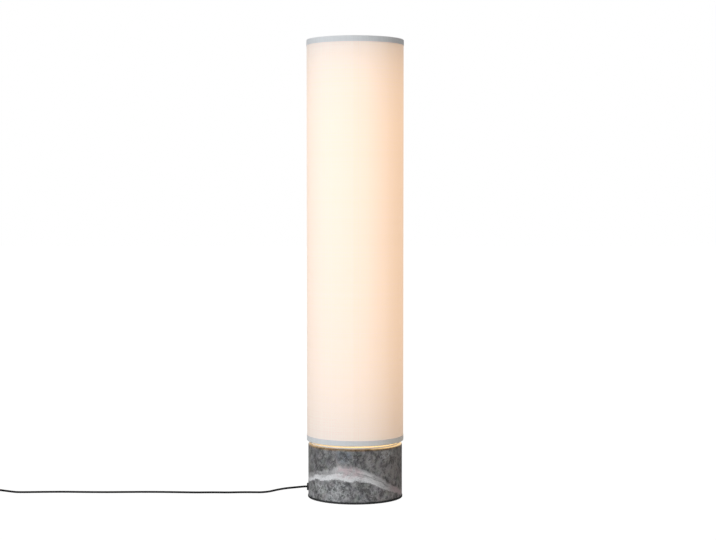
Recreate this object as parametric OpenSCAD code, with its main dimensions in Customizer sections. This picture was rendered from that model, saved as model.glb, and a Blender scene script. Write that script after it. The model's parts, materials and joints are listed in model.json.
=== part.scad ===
// Column floor lamp: a fabric cylinder lit from inside, standing on a drum of grey marble.
// The origin is the middle of the underside, +Z points up, and the cord leaves towards -X.

/* [Shade] */
// Outside diameter of the shade, over its edge tapes
shade_d = 170; // [150:1:200]
// Length of the shade from edge to edge
shade_l = 700; // [500:5:900]
// Thickness of the woven fabric
fabric_t = 0.6; // [0.4:0.1:1]
// Thickness of the stiff liner behind the fabric
liner_t = 0.4; // [0.3:0.1:0.8]
// Width of the fabric's overlapped seam, at the back
seam_w = 12; // [8:1:20]
// Height of the tape that binds each edge, outside
tape_h = 10; // [7:0.5:16]
// Height of the same tape on the inside
tape_inside_h = 8; // [6:0.5:14]
// Thickness of the tape
tape_t = 0.4; // [0.3:0.1:0.6]
// Diameter of the wire in the two edge rings
ring_wire_d = 3; // [2:0.5:4]
// Diameter of the wire in the spider arms
arm_wire_d = 3; // [2:0.5:4]
// Depth of the hub's upper face below the top edge
hub_drop = 29; // [22:1:40]
// Diameter of the hub washer
hub_d = 26; // [20:1:34]
// Thickness of the hub washer
hub_t = 2; // [1.5:0.5:3]
// Radial thickness of the collar that centres the shade's foot
collar_wall = 3; // [2:0.5:5]
// Height of that collar
collar_h = 6; // [4:0.5:10]
// Rise of that collar above the shade's lower edge
collar_rise = 10; // [8:0.5:16]

/* [Base] */
// Diameter of the marble drum
base_d = 165; // [145:1:190]
// Height of the marble drum
base_h = 92; // [84:1:120]
// Bevel on the drum's lower rim
base_bevel = 0.8; // [0.4:0.1:2]
// Radius of the drum's round upper rim
rim_round = 3; // [1:0.5:4]
// Gap between the marble and the shade, which lets light out
light_gap = 5; // [4:0.5:8]
// How far the rubber foot ring stands out past the marble
pad_lip = 0.75; // [0:0.25:2]
// Gap between the foot ring and the steel cover inside it
pad_gap = 1; // [0.5:0.5:4]
// Thickness of the rubber foot ring
pad_t = 3; // [2:0.5:5]
// Diameter of the hollow in the marble
cavity_d = 84; // [80:1:86]
// Height of the hollow in the marble
cavity_h = 44; // [42:1:50]
// Diameter of the steel cover under the hollow
cover_d = 111; // [109:0.5:111]
// Thickness of the steel cover
cover_t = 2.5; // [2.5:0.1:3]
// Radius of the circle that the cover's screws stand on
cover_screw_r = 49.5; // [49:0.5:50]
// Shank diameter of the cover's screws
cover_screw_d = 4; // [3:0.5:4]
// Diameter of the threaded inserts in the marble
insert_d = 6.2; // [5.6:0.1:6.4]
// Length of the threaded inserts
insert_l = 8; // [6:0.5:10]

/* [Cord entry] */
// Height of the cord entry above the floor
entry_z = 16.5; // [16:0.5:18]
// Diameter of the grommet's flange
flange_d = 13; // [11:0.5:16]
// How far the flange stands out from the marble
flange_t = 2.5; // [2:0.1:3]
// Diameter of the grommet's stem
stem_d = 8; // [7:0.5:9]
// Length of the grommet's stem
stem_l = 20; // [12:1:30]
// Diameter of the cord
cord_d = 3.6; // [3.2:0.1:3.7]

/* [Light column] */
// Diameter of the white reflector plate on the marble
reflector_d = 156; // [100:1:157]
// Thickness of the reflector plate
reflector_t = 2; // [1:0.5:3]
// Outside diameter of the opal tube
tube_d = 60; // [58:1:70]
// Wall of the opal tube
tube_wall = 2.5; // [2:0.5:3]
// Diameter of the lower cap's flange
cap_d = 66; // [64:1:76]
// Thickness of the cap flanges
cap_t = 4; // [3:0.5:6]
// Depth of the cap spigots inside the tube
spigot_h = 6; // [4:0.5:8]
// Side of the square aluminium core
core_w = 24; // [20:1:26]
// Outside diameter of the threaded tube and of the top rod
mast_d = 9.9; // [8:0.1:10]
// Bore of the threaded tube
mast_bore = 7; // [5.5:0.5:7]
// How far the threaded tube screws into the core
mast_grip = 15; // [10:1:16]
// Clear height of the top rod between the upper cap and the hub
rod_rise = 24; // [16:1:34]
// How far the top rod screws into the core
rod_grip = 20; // [12:1:30]
// Diameter of the stud that takes the finial
stud_d = 6; // [5:0.5:6]
// Length of that stud above its shoulder
stud_l = 13; // [10:0.5:14]
// Height of the mast nuts
nut_h = 8; // [6:0.5:9]
// Height of the thin nut on the upper cap
cap_nut_h = 5; // [4:0.5:8]
// Width of the mast nuts across their flats
nut_flats = 17; // [15:1:19]
// Diameter of the washer under the marble
washer_d = 34; // [24:1:40]
// Thickness of that washer
washer_t = 2; // [1.5:0.5:3]
// Width of the LED strips
strip_w = 10; // [8:1:12]
// Thickness of the LED strips
strip_t = 1; // [0.6:0.1:1.4]
// Side of one LED
led_w = 3; // [2:0.2:4]
// Distance from one LED to the next
led_pitch = 16.7; // [8:0.1:30]

/* [Finial] */
// Diameter of the knurled finial
finial_d = 20; // [18:1:24]
// Height of the finial
finial_h = 15; // [15:0.5:18]
// Number of grooves round the finial
finial_grooves = 28; // [16:1:32]
// Diameter of the threaded insert in the finial
finial_insert_d = 9; // [8:0.5:10]

/* [Dimmer] */
// Length of the in-line dimmer
dimmer_l = 60; // [54:1:66]
// Width of the in-line dimmer
dimmer_w = 30; // [26:1:32]
// Height of the lower shell
dimmer_low_h = 8; // [8:0.5:9]
// Height of the upper shell
dimmer_up_h = 10; // [9:0.5:12]
// Wall of the shells
dimmer_wall = 2; // [1.5:0.1:2.2]
// Radius of the dimmer's corners
dimmer_corner = 9; // [6:0.5:10]
// Diameter of the push button
button_d = 16; // [12:0.5:17]
// How far the button stands up
button_rise = 3; // [2.5:0.1:4]
// Travel of the button
button_travel = 2; // [1:0.1:2.2]

/* [Adapter] */
// Length of the plug adapter
adapter_l = 62; // [56:1:70]
// Depth of the plug adapter, pins left out
adapter_w = 36; // [32:1:38]
// Thickness of the plug adapter
adapter_h = 32; // [32:0.5:36]
// Wall of the adapter's shells
adapter_wall = 2; // [1.5:0.1:2.5]
// Radius of the adapter's corners
adapter_corner = 6; // [3:0.5:8]
// Diameter of the brass pins
pin_d = 4; // [3.8:0.1:4.2]
// Bare length of the brass pins
pin_bare_l = 9; // [8:0.5:10]
// Length of the insulating sleeves on the pins
pin_sleeve_l = 10; // [9:0.5:11]
// Distance between the pins
pin_gap = 18.6; // [17.5:0.1:19.5]

/* [Hidden] */
$fn = 96;

// Clearances
glue = 0.05;         // a glue line between bonded layers
seat_gap = 0.2;      // between the shade or the finial and its seat
fit_gap = 0.15;      // all round a part that sits in a hole
screw_gap = 0.2;     // all round a screw or its head in a plate
marble_gap = 0.65;   // all round the threaded tube in the marble
running_gap = 1;     // between the centring collar and the opal tube
eps = 0.5;           // how far a cut runs past the face that it opens
taper_eps = 0.01;    // the same for a tapered cut
curve_run = 3;       // how far a cut runs past a curved wall

// Heights of the base
base_z = pad_t;
base_top = base_z + base_h;
pad_d = base_d + 2 * pad_lip;
cover_recess = 3;
rim_step = 15;       // degrees between points of the drum's round rim
pad_hole_d = cover_d + 2 * pad_gap;
cover_head_d = 2 * cover_screw_d;
cover_head_h = (cover_head_d - cover_screw_d) / 2;
insert_room = 2;     // bare hole above each insert
cavity_z = base_z + cover_recess;
cavity_top = cavity_z + cavity_h;
cover_top = cavity_z - glue;

// The shade, from its outside in
shade_z = base_top + light_gap;
shade_top = shade_z + shade_l;
shade_r = shade_d / 2;
fabric_r = shade_r - tape_t - glue;
liner_r = fabric_r - fabric_t - glue;
ring_r = liner_r - liner_t - glue - ring_wire_d / 2;
tape_inner_r = ring_r - ring_wire_d / 2 - glue - tape_t;
ring_inset = tape_t + glue + ring_wire_d / 2;
seam_gap = 0.5;      // between the seam's second layer and each tape
arm_count = 3;
arm_first = 90;      // one arm points to the back
arm_grip = 2;        // how far an arm reaches into the hub
collar_grip = 1;     // how far an arm reaches into the collar
hub_z = shade_top - hub_drop - hub_t;

// The light column, from the marble up
reflector_z = base_top;
cap_z = reflector_z + reflector_t;
tube_z = cap_z + cap_t;
core_z = tube_z + spigot_h;
shoulder_z = hub_z - seat_gap;
upper_cap_z = shoulder_z - rod_rise - cap_t;
core_top = upper_cap_z - spigot_h;
spigot_d = tube_d - 2 * tube_wall - 2 * fit_gap;
mast_hole_d = mast_d + 2 * fit_gap;
feed_rise = 4;       // from the mast's upper end to the middle of the wires' hole
feed_hole_z = core_z + mast_grip + feed_rise;
feed_hole_d = 8;
board_rise = 6;      // from that middle to the feed board
board_z = feed_hole_z + board_rise;
board_t = 1.2;
board_margin = 6;    // width of the board on each side of the core
board_w = core_w + 2 * board_margin;
led_rise = 0.7;      // how far an LED stands out from its strip
strip_z = board_z + board_t + glue;
strip_margin = 4;    // bare core above the strips
strip_l = core_top - strip_margin - strip_z;
led_count = floor((strip_l - led_w) / led_pitch);

// The mast below the core
washer_z = cavity_top - washer_t;
nut_z = washer_z - nut_h;
mast_tail = 4;       // thread that shows below the nut
mast_z = nut_z - mast_tail;
mast_top = core_z + mast_grip;

// Inside the hollow
entry_x = -(base_d / 2 + flange_t);
block_l = 20;
block_w = 18;
block_rise = 8;      // from the cord's middle to the block's top
block_h = entry_z - cover_top + block_rise;
block_x = 8;
block_bore_l = 6;
lead_grip = 3;       // how far the cord reaches into the block
terminal_d = 3.6;
terminal_h = 3;
terminal_well = 4;   // depth of the wells that hold the terminal screws
terminal_x = block_x + 6;
terminal_y = 4.5;
clamp_x = -30;
clamp_l = 9;
clamp_w = 22;
clamp_rise = 5;      // from the cord's middle to the clamp's top
clamp_h = entry_z - cover_top + clamp_rise;
clamp_screw_d = 3;
clamp_head_d = 5.6;
clamp_head_h = 2;
clamp_screw_y = clamp_w / 3;

// Where the in-line pieces lie on the floor
cord_y = 24;
dimmer_end = -652;   // the dimmer's end nearest the lamp
boot_l = 12;
boot_d = 8;
boot_tip_d = 5.4;
boot_hole_d = 6;
boot_head_d = 7.4;
boot_head_t = 1.2;
boot_fit = 0.2;
boot_neck = 1;       // how far the neck runs on from both faces of its wall
dimmer_z = 6;        // height of the cord where it enters the dimmer
dimmer_x = dimmer_end - dimmer_l / 2;
dimmer_h = dimmer_low_h + dimmer_up_h;
screw_x = dimmer_l / 2 - 10;
screw_y = -7;
post_d = 6;
small_screw_d = 2.1;
small_screw_grip = 4;
small_head_d = 4.6;
small_head_h = 1.8;
head_sink = 0.4;     // depth of the screw heads below the shell's underside
switch_d = 4;
pcb_t = 1.6;
board_low = 4;
dimmer_board_l = 28;
button_gap = 0.3;
button_lip = 1.5;
button_flange_h = 1.6;
button_low = dimmer_h + glue - dimmer_wall - button_gap - button_flange_h;
spring_low = board_low + pcb_t + glue;
spring_wire_d = 0.8;
spring_r = 4;
spring_turns = 3;
sleeve_d = pin_d - 0.5;
pin_core_d = pin_d - 1.2;
pin_root = 6;        // how far the pins reach back into the adapter
adapter_end = -714;  // the adapter's end that takes the cord
adapter_x = adapter_end + adapter_l / 2;
adapter_board_inset = 8;
adapter_board_y = 3;
transformer_l = 18;
transformer_w = 10;
transformer_h = 16;

// The coil of spare cord
coil_x = -762;
coil_inner_r = 16;
coil_pitch = 4.2;    // from one turn to the next, in a layer
coil_layers = 4;
layer_pitch = 4.3;   // from one layer to the next
layer_turns = 2.625;
strap_t = 0.8;       // the straps that hold the coil together
strap_w = 8;
coil_z = strap_t + 0.1 + cord_d / 2;
coil_outer_r = coil_inner_r + layer_turns * coil_pitch;
coil_y = cord_y - coil_outer_r;
adapter_y = coil_y - coil_outer_r;
adapter_z = coil_z + (coil_layers - 1) * layer_pitch;
loop_rings = 24;
loop_sides = 6;

// The free cord's route, chosen by hand, from the grommet to the dimmer
run_route = [
    [-85, 0, 16.5], [-89, 0, 16.5], [-98, 0.5, 15.6], [-111, 2.5, 14], [-125, 6, 11.8],
    [-139, 11, 8.4], [-153, 17, 4.4], [-167, 22, 2.2], [-182, 24, 1.8], [-204, 24, 1.8],
    [-227, 22, 1.8], [-254, 23, 1.8], [-282, 22, 1.8], [-310, 24, 1.8], [-340, 26, 1.8],
    [-374, 27, 1.8], [-410, 26, 1.8], [-446, 25, 1.8], [-482, 26, 1.8], [-518, 28, 1.8],
    [-552, 27, 1.8], [-584, 25, 1.8], [-604, 24, 2.2], [-620, 24, 4], [-632, 24, 5.6],
    [-637, 24, 6], [-640, 24, 6]];
run_steps = 3;
cord_sides = 8;

// The two wires, from the terminal block up the mast to the feed board
wire_d = 1.5;
wire_route = [
    [20, 3, 24.4], [20, 3, 27], [18.6, 2.9, 29.6], [15.4, 2.7, 31], [10, 2.2, 31.4],
    [5, 1.6, 31.8], [1.8, 1.3, 33.2], [0.3, 1.2, 36], [0, 1.2, 40]];

// Helpers

function unit(v) = v / norm(v);

// A point on the smooth curve through p, a share u of the way from point i to the next
function smooth_point(p, i, u) =
    let (a = p[max(i - 1, 0)], b = p[i], c = p[i + 1], d = p[min(i + 2, len(p) - 1)],
         m = (c - a) / 2, n = (d - b) / 2)
    (2 * u ^ 3 - 3 * u ^ 2 + 1) * b + (u ^ 3 - 2 * u ^ 2 + u) * m
    + (3 * u ^ 2 - 2 * u ^ 3) * c + (u ^ 3 - u ^ 2) * n;

function smooth_path(p, steps) = concat(
    [for (i = [0 : len(p) - 2], k = [0 : steps - 1]) smooth_point(p, i, k / steps)],
    [p[len(p) - 1]]);

function tangent(p, i) = unit(p[min(i + 1, len(p) - 1)] - p[max(i - 1, 0)]);

function across(v, t) = unit(v - (v * t) * t);

// The direction from the path to the first side of the tube, carried along without twist
function carried(p, start) = [
    for (i = 0, v = across(start, tangent(p, 0));
         i < len(p);
         i = i + 1, v = i < len(p) ? across(v, tangent(p, i)) : v) v];

// The least distance between points of a path that are over half a loop apart
function least_gap(p, apart, d) = min([
    for (i = [0 : len(p) - apart - 1], j = [i + apart : len(p) - 1]) norm(p[i] - p[j])]) - d;

// A tube of that many sides swept along a path
module swept(p, d, sides, start = [0, 0, 1]) {
    side = carried(p, start);
    n = len(p);
    points = [
        for (i = [0 : n - 1], k = [0 : sides - 1])
            let (t = tangent(p, i), a = 360 * k / sides)
            p[i] + d / 2 * (cos(a) * side[i] + sin(a) * cross(t, side[i]))];
    walls = [
        for (i = [0 : n - 2], k = [0 : sides - 1])
            let (a = i * sides + k, b = i * sides + (k + 1) % sides)
            each [[a, b, a + sides], [b, b + sides, a + sides]]];
    first = [for (k = [1 : sides - 2]) [0, k + 1, k]];
    last = [for (k = [1 : sides - 2]) [0, k, k + 1] + (n - 1) * sides * [1, 1, 1]];
    polyhedron(points, [for (f = concat(walls, first, last)) [f[2], f[1], f[0]]]);
}

module at_each(count, radius, first = 0)
    for (i = [0 : count - 1]) rotate(first + 360 * i / count) translate([radius, 0, 0]) children();

module disc(d, h, z = 0) translate([0, 0, z]) cylinder(d = d, h = h);

module hole(d, from, to) translate([0, 0, from - eps]) cylinder(d = d, h = to - from + 2 * eps);

module pipe(outer_d, inner_d, h, z = 0) translate([0, 0, z]) difference() {
    cylinder(d = outer_d, h = h);
    translate([0, 0, -eps]) cylinder(d = inner_d, h = h + 2 * eps);
}

// A round bar from one point to another
module bar(from, to, d) {
    v = to - from;
    translate(from) rotate([0, acos(v.z / norm(v)), atan2(v.y, v.x)]) cylinder(d = d, h = norm(v));
}

module along_x(from, to, d, y, z)
    translate([from, y, z]) rotate([0, 90, 0]) cylinder(d = d, h = to - from);

module hex_nut(flats, bore, h, z) translate([0, 0, z]) difference() {
    cylinder(d = flats / cos(30), h = h, $fn = 6);
    translate([0, 0, -eps]) cylinder(d = bore, h = h + 2 * eps);
}

// A slab with round upright corners, centred on its own middle
module rounded_slab(l, w, h, r) {
    translate([-l / 2 + r, -w / 2, 0]) cube([l - 2 * r, w, h]);
    translate([-l / 2, -w / 2 + r, 0]) cube([l, w - 2 * r, h]);
    for (x = [-1, 1], y = [-1, 1])
        translate([x * (l / 2 - r), y * (w / 2 - r), 0]) cylinder(r = r, h = h);
}

// The marble drum and what closes it

module insert_places() at_each(4, cover_screw_r, 45) children();

module clamp_places() for (side = [-1, 1]) translate([clamp_x, side * clamp_screw_y, 0]) children();

module marble_base() color("dimgray") difference() {
    rim = [for (a = [0 : rim_step : 90])
        [base_d / 2 - rim_round * (1 - cos(a)), base_top - rim_round * (1 - sin(a))]];
    rotate_extrude() polygon(concat(
        [[0, base_z], [base_d / 2 - base_bevel, base_z], [base_d / 2, base_z + base_bevel]],
        rim, [[0, base_top]]));
    translate([0, 0, base_z - eps]) cylinder(d = cover_d + 2 * fit_gap, h = cover_recess + eps);
    translate([0, 0, base_z]) cylinder(d = cavity_d, h = cavity_top - base_z);
    hole(mast_d + 2 * marble_gap, cavity_top, base_top);
    insert_places() translate([0, 0, cavity_z - eps])
        cylinder(d = insert_d + 2 * glue, h = insert_l + insert_room + eps);
    along_x(-base_d / 2 - eps, -cavity_d / 2 + curve_run, stem_d + 2 * glue, 0, entry_z);
}

module foot_ring() color("black") pipe(pad_d, pad_hole_d, pad_t);

module countersink() {
    hole(cover_screw_d + 2 * screw_gap, cover_top - cover_t, cover_top);
    translate([0, 0, cover_top - cover_t - taper_eps])
        cylinder(d1 = cover_head_d + 2 * screw_gap, d2 = cover_screw_d + 2 * screw_gap, h = cover_head_h);
}

module bottom_cover() color("silver") difference() {
    disc(cover_d, cover_t, cover_top - cover_t);
    insert_places() countersink();
    clamp_places() hole(clamp_screw_d + 2 * screw_gap, cover_top - cover_t, cover_top);
}

module cover_screws() color("silver") insert_places() translate([0, 0, cover_top - cover_t]) {
    cylinder(d1 = cover_head_d, d2 = cover_screw_d, h = cover_head_h);
    cylinder(d = cover_screw_d, h = cover_t + insert_l);
}

module cover_inserts() color("gold")
    insert_places() pipe(insert_d, cover_screw_d + 2 * glue, insert_l, cavity_z);

// The cord's way in

module cord_grommet() color("black") difference() {
    union() {
        along_x(entry_x, -base_d / 2 + curve_run, flange_d, 0, entry_z);
        along_x(-base_d / 2, -base_d / 2 + stem_l, stem_d, 0, entry_z);
    }
    // the flange's back follows the marble, and the stem runs on into its hole
    difference() {
        hole(base_d + 2 * glue, base_z, base_top);
        along_x(-base_d, 0, stem_d, 0, entry_z);
    }
    along_x(entry_x - eps, 0, cord_d + 2 * fit_gap, 0, entry_z);
}

module inner_lead() color("black") along_x(entry_x, block_x + lead_grip, cord_d, 0, entry_z);

module cord_clamp() color("white") difference() {
    translate([clamp_x - clamp_l / 2, -clamp_w / 2, cover_top + glue]) cube([clamp_l, clamp_w, clamp_h]);
    along_x(clamp_x - clamp_l, clamp_x + clamp_l, cord_d + 2 * glue, 0, entry_z);
    clamp_places() hole(clamp_screw_d + 2 * screw_gap, cover_top, cover_top + clamp_h);
}

module clamp_screws() color("silver") clamp_places() {
    disc(clamp_screw_d, cover_t + clamp_h, cover_top - cover_t + screw_gap);
    disc(clamp_head_d, clamp_head_h, cover_top + clamp_h + 2 * glue);
}

module terminal_places()
    for (side = [-1, 1]) translate([terminal_x, side * terminal_y, cover_top + block_h - terminal_well])
        children();

module terminal_block() color("white") difference() {
    translate([block_x, -block_w / 2, cover_top + glue]) cube([block_l, block_w, block_h]);
    along_x(block_x - eps, block_x + block_bore_l, cord_d + 2 * fit_gap, 0, entry_z);
    terminal_places() cylinder(d = terminal_d + 2 * screw_gap, h = terminal_well + eps);
}

module terminal_screws() color("silver") terminal_places() disc(terminal_d, terminal_h, glue);

// A wire's way on from the block: up the mast, out of the core's hole and round to the feed board.
// y_side 1 is the wire at the back of the mast, -1 the one at its front.
function wire_path(y_side) = let (exit_z = feed_hole_z + 1.4 * y_side, out = -core_w / 2) concat(
    [for (p = smooth_path(wire_route, 2))
        [p.x, y_side * p.y, p.z - wire_route[0].z + cover_top + block_h + 2 * glue]],
    [[0, y_side * 1.2, mast_z + 6], [0, y_side * 1.2, (mast_z + mast_top) / 2],
     [0, y_side * 1.2, exit_z - 3.4], [0, y_side * 1.1, exit_z - 2.2],
     [0, y_side * 1.2 - 0.8, exit_z - 0.8], [0, y_side * 1.2 - 2.2, exit_z], [0, -5, exit_z],
     [0, out, exit_z], [y_side, out - 1.6, exit_z + 0.4], [2 * y_side, out - 2.8, exit_z + 1.6],
     [3 * y_side, out - 3.4, board_z - 2.2], [3 * y_side, out - 3.4, board_z - 0.1]]);

module wire_positive() color("crimson") swept(wire_path(1), wire_d, cord_sides, [0, 1, 0]);

module wire_negative() color("black") swept(wire_path(-1), wire_d, cord_sides, [0, 1, 0]);

// The mast and the light column

module mast_tube() color("silver") pipe(mast_d, mast_bore, mast_top - mast_z, mast_z);

module mast_washer() color("silver") pipe(washer_d, mast_hole_d, washer_t, washer_z);

module mast_nut() color("silver") hex_nut(nut_flats, mast_hole_d, nut_h, nut_z);

module reflector_plate() color("white") pipe(reflector_d, mast_hole_d, reflector_t, reflector_z);

module lower_cap() color("white") difference() {
    union() {
        disc(cap_d, cap_t, cap_z);
        disc(spigot_d, cap_t + spigot_h, cap_z);
    }
    hole(mast_hole_d, cap_z, core_z);
}

module led_core() color("silver") difference() {
    translate([-core_w / 2, -core_w / 2, core_z]) cube([core_w, core_w, core_top - core_z]);
    hole(mast_hole_d, core_z, core_top);
    translate([0, 0, feed_hole_z]) rotate([90, 0, 0]) cylinder(d = feed_hole_d, h = core_w);
}

module feed_board() color("green") difference() {
    translate([-board_w / 2, -board_w / 2, board_z]) cube([board_w, board_w, board_t]);
    inner = core_w + 2 * fit_gap;
    translate([-inner / 2, -inner / 2, board_z - eps]) cube([inner, inner, board_t + 2 * eps]);
}

module led_strip(turn) color("ivory") rotate(turn) translate([0, -core_w / 2 - glue, strip_z]) {
    translate([-strip_w / 2, -strip_t, 0]) cube([strip_w, strip_t, strip_l]);
    for (i = [0 : led_count]) translate([-led_w / 2, -strip_t - led_rise, i * led_pitch])
        cube([led_w, led_rise + strip_t / 2, led_w]);
}

module led_strip_front() led_strip(0);

module led_strip_right() led_strip(90);

module led_strip_back() led_strip(180);

module led_strip_left() led_strip(270);

module opal_tube() color("white") pipe(tube_d, tube_d - 2 * tube_wall, upper_cap_z - tube_z, tube_z);

module upper_cap() color("white") difference() {
    union() {
        disc(tube_d, cap_t, upper_cap_z);
        disc(spigot_d, cap_t + spigot_h, upper_cap_z - spigot_h);
    }
    hole(mast_hole_d, upper_cap_z - spigot_h, upper_cap_z + cap_t);
}

module cap_nut() color("silver") hex_nut(nut_flats, mast_hole_d, cap_nut_h, upper_cap_z + cap_t);

module top_rod() color("silver") {
    disc(mast_d, shoulder_z - core_top + rod_grip, core_top - rod_grip);
    disc(stud_d, stud_l, shoulder_z);
}

// The shade

module shade_fabric() color("linen") {
    from = shade_z + tape_t + glue;
    height = shade_l - 2 * (tape_t + glue);
    pipe(2 * fabric_r, 2 * (fabric_r - fabric_t), height, from);
    // the seam's second layer, between the two tapes
    intersection() {
        pipe(2 * (fabric_r + tape_t), 2 * (fabric_r - glue), shade_l - 2 * (tape_h + seam_gap),
            shade_z + tape_h + seam_gap);
        translate([-seam_w / 2, 0, shade_z]) cube([seam_w, shade_r, shade_l]);
    }
}

module shade_liner() color("white")
    pipe(2 * liner_r, 2 * (liner_r - liner_t), shade_l - 2 * (tape_t + glue), shade_z + tape_t + glue);

// An edge tape folded over its rim, drawn at the lower edge
module edge_tape() difference() {
    rotate_extrude() polygon([
        [tape_inner_r, 0], [shade_r, 0], [shade_r, tape_h], [shade_r - tape_t, tape_h],
        [shade_r - tape_t, tape_t], [tape_inner_r + tape_t, tape_t],
        [tape_inner_r + tape_t, tape_inside_h], [tape_inner_r, tape_inside_h]]);
    at_each(arm_count, tape_inner_r, arm_first)
        translate([-eps, -arm_wire_d / 2 - fit_gap, ring_inset - arm_wire_d / 2 - 2 * fit_gap])
            cube([tape_t + 2 * eps, arm_wire_d + 2 * fit_gap, tape_inside_h]);
}

module bottom_tape() color("gainsboro") translate([0, 0, shade_z]) edge_tape();

module top_tape() color("gainsboro") translate([0, 0, shade_top]) mirror([0, 0, 1]) edge_tape();

module edge_ring(z) color("silver") translate([0, 0, z])
    rotate_extrude() translate([ring_r, 0]) circle(d = ring_wire_d);

module bottom_ring() edge_ring(shade_z + ring_inset);

module top_ring() edge_ring(shade_top - ring_inset);

// Arms that run straight from the ring to a radius and height at the middle
module arms(ring_z, middle_r, middle_z) for (i = [0 : arm_count - 1])
    rotate(arm_first + 360 * i / arm_count)
        bar([ring_r - ring_wire_d / 2 - glue, 0, ring_z], [middle_r, 0, middle_z], arm_wire_d);

module top_spider() color("silver") difference() {
    union() {
        disc(hub_d, hub_t, hub_z);
        arms(shade_top - ring_inset, hub_d / 2 - arm_grip, hub_z + hub_t / 2);
    }
    hole(stud_d + 2 * fit_gap, hub_z - hub_t, hub_z + 2 * hub_t);
}

module bottom_spider() color("silver") {
    bore = tube_d + 2 * running_gap;
    pipe(bore + 2 * collar_wall, bore, collar_h, shade_z + collar_rise);
    arms(shade_z + ring_inset, bore / 2 + collar_wall - collar_grip, shade_z + collar_rise + collar_h / 2);
}

// The finial that holds the shade down

finial_z = hub_z + hub_t + seat_gap;
finial_bevel = 1;
finial_crown = 3;    // radius of its round upper rim
finial_roof = 2;     // brass above the insert's hole
groove_d = 1.4;
groove_out = 0.4;    // from the finial's side to the middle of a groove
groove_low = 2;      // smooth band below the grooves
groove_high = 4;     // smooth band above them, with the round rim

module finial_knob() color("goldenrod") difference() {
    rotate_extrude() polygon(concat(
        [[0, finial_z], [finial_d / 2 - finial_bevel, finial_z], [finial_d / 2, finial_z + finial_bevel]],
        [for (a = [0 : 15 : 90]) [finial_d / 2 - finial_crown * (1 - cos(a)),
            finial_z + finial_h - finial_crown * (1 - sin(a))]],
        [[0, finial_z + finial_h]]));
    translate([0, 0, finial_z - eps])
        cylinder(d = finial_insert_d + 2 * glue, h = finial_h - finial_roof + eps);
    at_each(finial_grooves, finial_d / 2 + groove_out)
        disc(groove_d, finial_h - groove_low - groove_high, finial_z + groove_low);
}

module finial_insert() color("gold")
    pipe(finial_insert_d, stud_d + 2 * fit_gap, finial_h - finial_roof - seat_gap, finial_z);

// The cord

// The smooth curve may not dip below the floor between its points
function above_floor(p, d) = [for (q = p) [q.x, q.y, max(q.z, d / 2)]];

module cord_run() color("black")
    swept(above_floor(smooth_path(run_route, run_steps), cord_d), cord_d, cord_sides);

// Distance from the coil's middle after that many turns: in and out again, layer by layer
function coil_radius(turn) = let (layer = floor(turn / layer_turns), done = turn - layer * layer_turns)
    layer % 2 == 0 ? coil_outer_r - coil_pitch * done : coil_inner_r + coil_pitch * done;

// Height after that many turns: level, but for the half turn round each reversal
function coil_height(turn) = coil_z + layer_pitch * ([for (k = [1 : coil_layers - 1])
    let (u = min(1, max(0, 2 * (turn - k * layer_turns) + 0.5))) u * u * (3 - 2 * u)] * [1, 1, 1]);

coil_turns = coil_layers * layer_turns;

function coil_point(turn) = let (a = 90 + 360 * turn, r = coil_radius(turn))
    [coil_x + r * cos(a), coil_y + r * sin(a), coil_height(turn)];

// The cord from the dimmer into the coil, its turns, and the way out to the adapter
coil_path = concat(
    [[dimmer_end - dimmer_l - boot_l, cord_y, dimmer_z],
     [dimmer_end - dimmer_l - boot_l - cord_d, cord_y, dimmer_z],
     [coil_x + 25, cord_y, 5.3], [coil_x + 15, cord_y, coil_z + 0.7]],
    [for (i = [0 : coil_turns * loop_rings]) coil_point(i / loop_rings)],
    [[coil_x + 12, adapter_y, adapter_z], [adapter_end - boot_l - cord_d, adapter_y, adapter_z],
     [adapter_end - boot_l, adapter_y, adapter_z]]);

echo(least_gap_of_coil = least_gap(coil_path, loop_rings / 2, cord_d));

module cord_coil() color("black") swept(coil_path, cord_d, loop_sides);

// Two straps round the coil's bundle of turns
module coil_ties() color("dimgray") for (side = [-1, 1]) {
    // the room inside a strap, wider on the inside, where the turns curve away from it
    room_from = coil_inner_r - cord_d / 2 - 1;
    room_to = coil_outer_r + cord_d / 2 + 0.3;
    room_h = (coil_layers - 1) * layer_pitch + cord_d + 0.3;
    translate([coil_x + side * (room_from + room_to) / 2, coil_y + strap_w / 2, strap_t + room_h / 2])
        rotate([90, 0, 0]) difference() {
            rounded_slab(room_to - room_from + 2 * strap_t, room_h + 2 * strap_t, strap_w, 2);
            translate([0, 0, -eps])
                rounded_slab(room_to - room_from, room_h, strap_w + 2 * eps, 2 - strap_t);
        }
}

// A tapered strain relief with a neck through a wall and a head behind it, pointing up
module boot(wall) {
    cylinder(d1 = boot_d, d2 = boot_tip_d, h = boot_l);
    translate([0, 0, -wall - boot_neck])
        cylinder(d = boot_hole_d - 2 * boot_fit, h = wall + 2 * boot_neck);
    translate([0, 0, -wall - boot_fit - boot_head_t]) cylinder(d = boot_head_d, h = boot_head_t);
}

module boot_hole(x, wall, z) along_x(x - 2 * wall, x + 2 * wall, boot_hole_d, 0, z);

// The in-line dimmer

module at_dimmer() translate([dimmer_x, cord_y, 0]) children();

module dimmer_shell(z, h, floor_z) difference() {
    translate([0, 0, z]) rounded_slab(dimmer_l, dimmer_w, h, dimmer_corner);
    translate([0, 0, floor_z]) rounded_slab(dimmer_l - 2 * dimmer_wall, dimmer_w - 2 * dimmer_wall,
        h - dimmer_wall + eps, dimmer_corner - dimmer_wall);
    for (side = [-1, 1]) boot_hole(side * dimmer_l / 2, dimmer_wall, dimmer_z);
}

module screw_places() for (side = [-1, 1]) translate([side * screw_x, screw_y, 0]) children();

module screw_posts(z, h) screw_places() disc(post_d, h, z);

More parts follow.
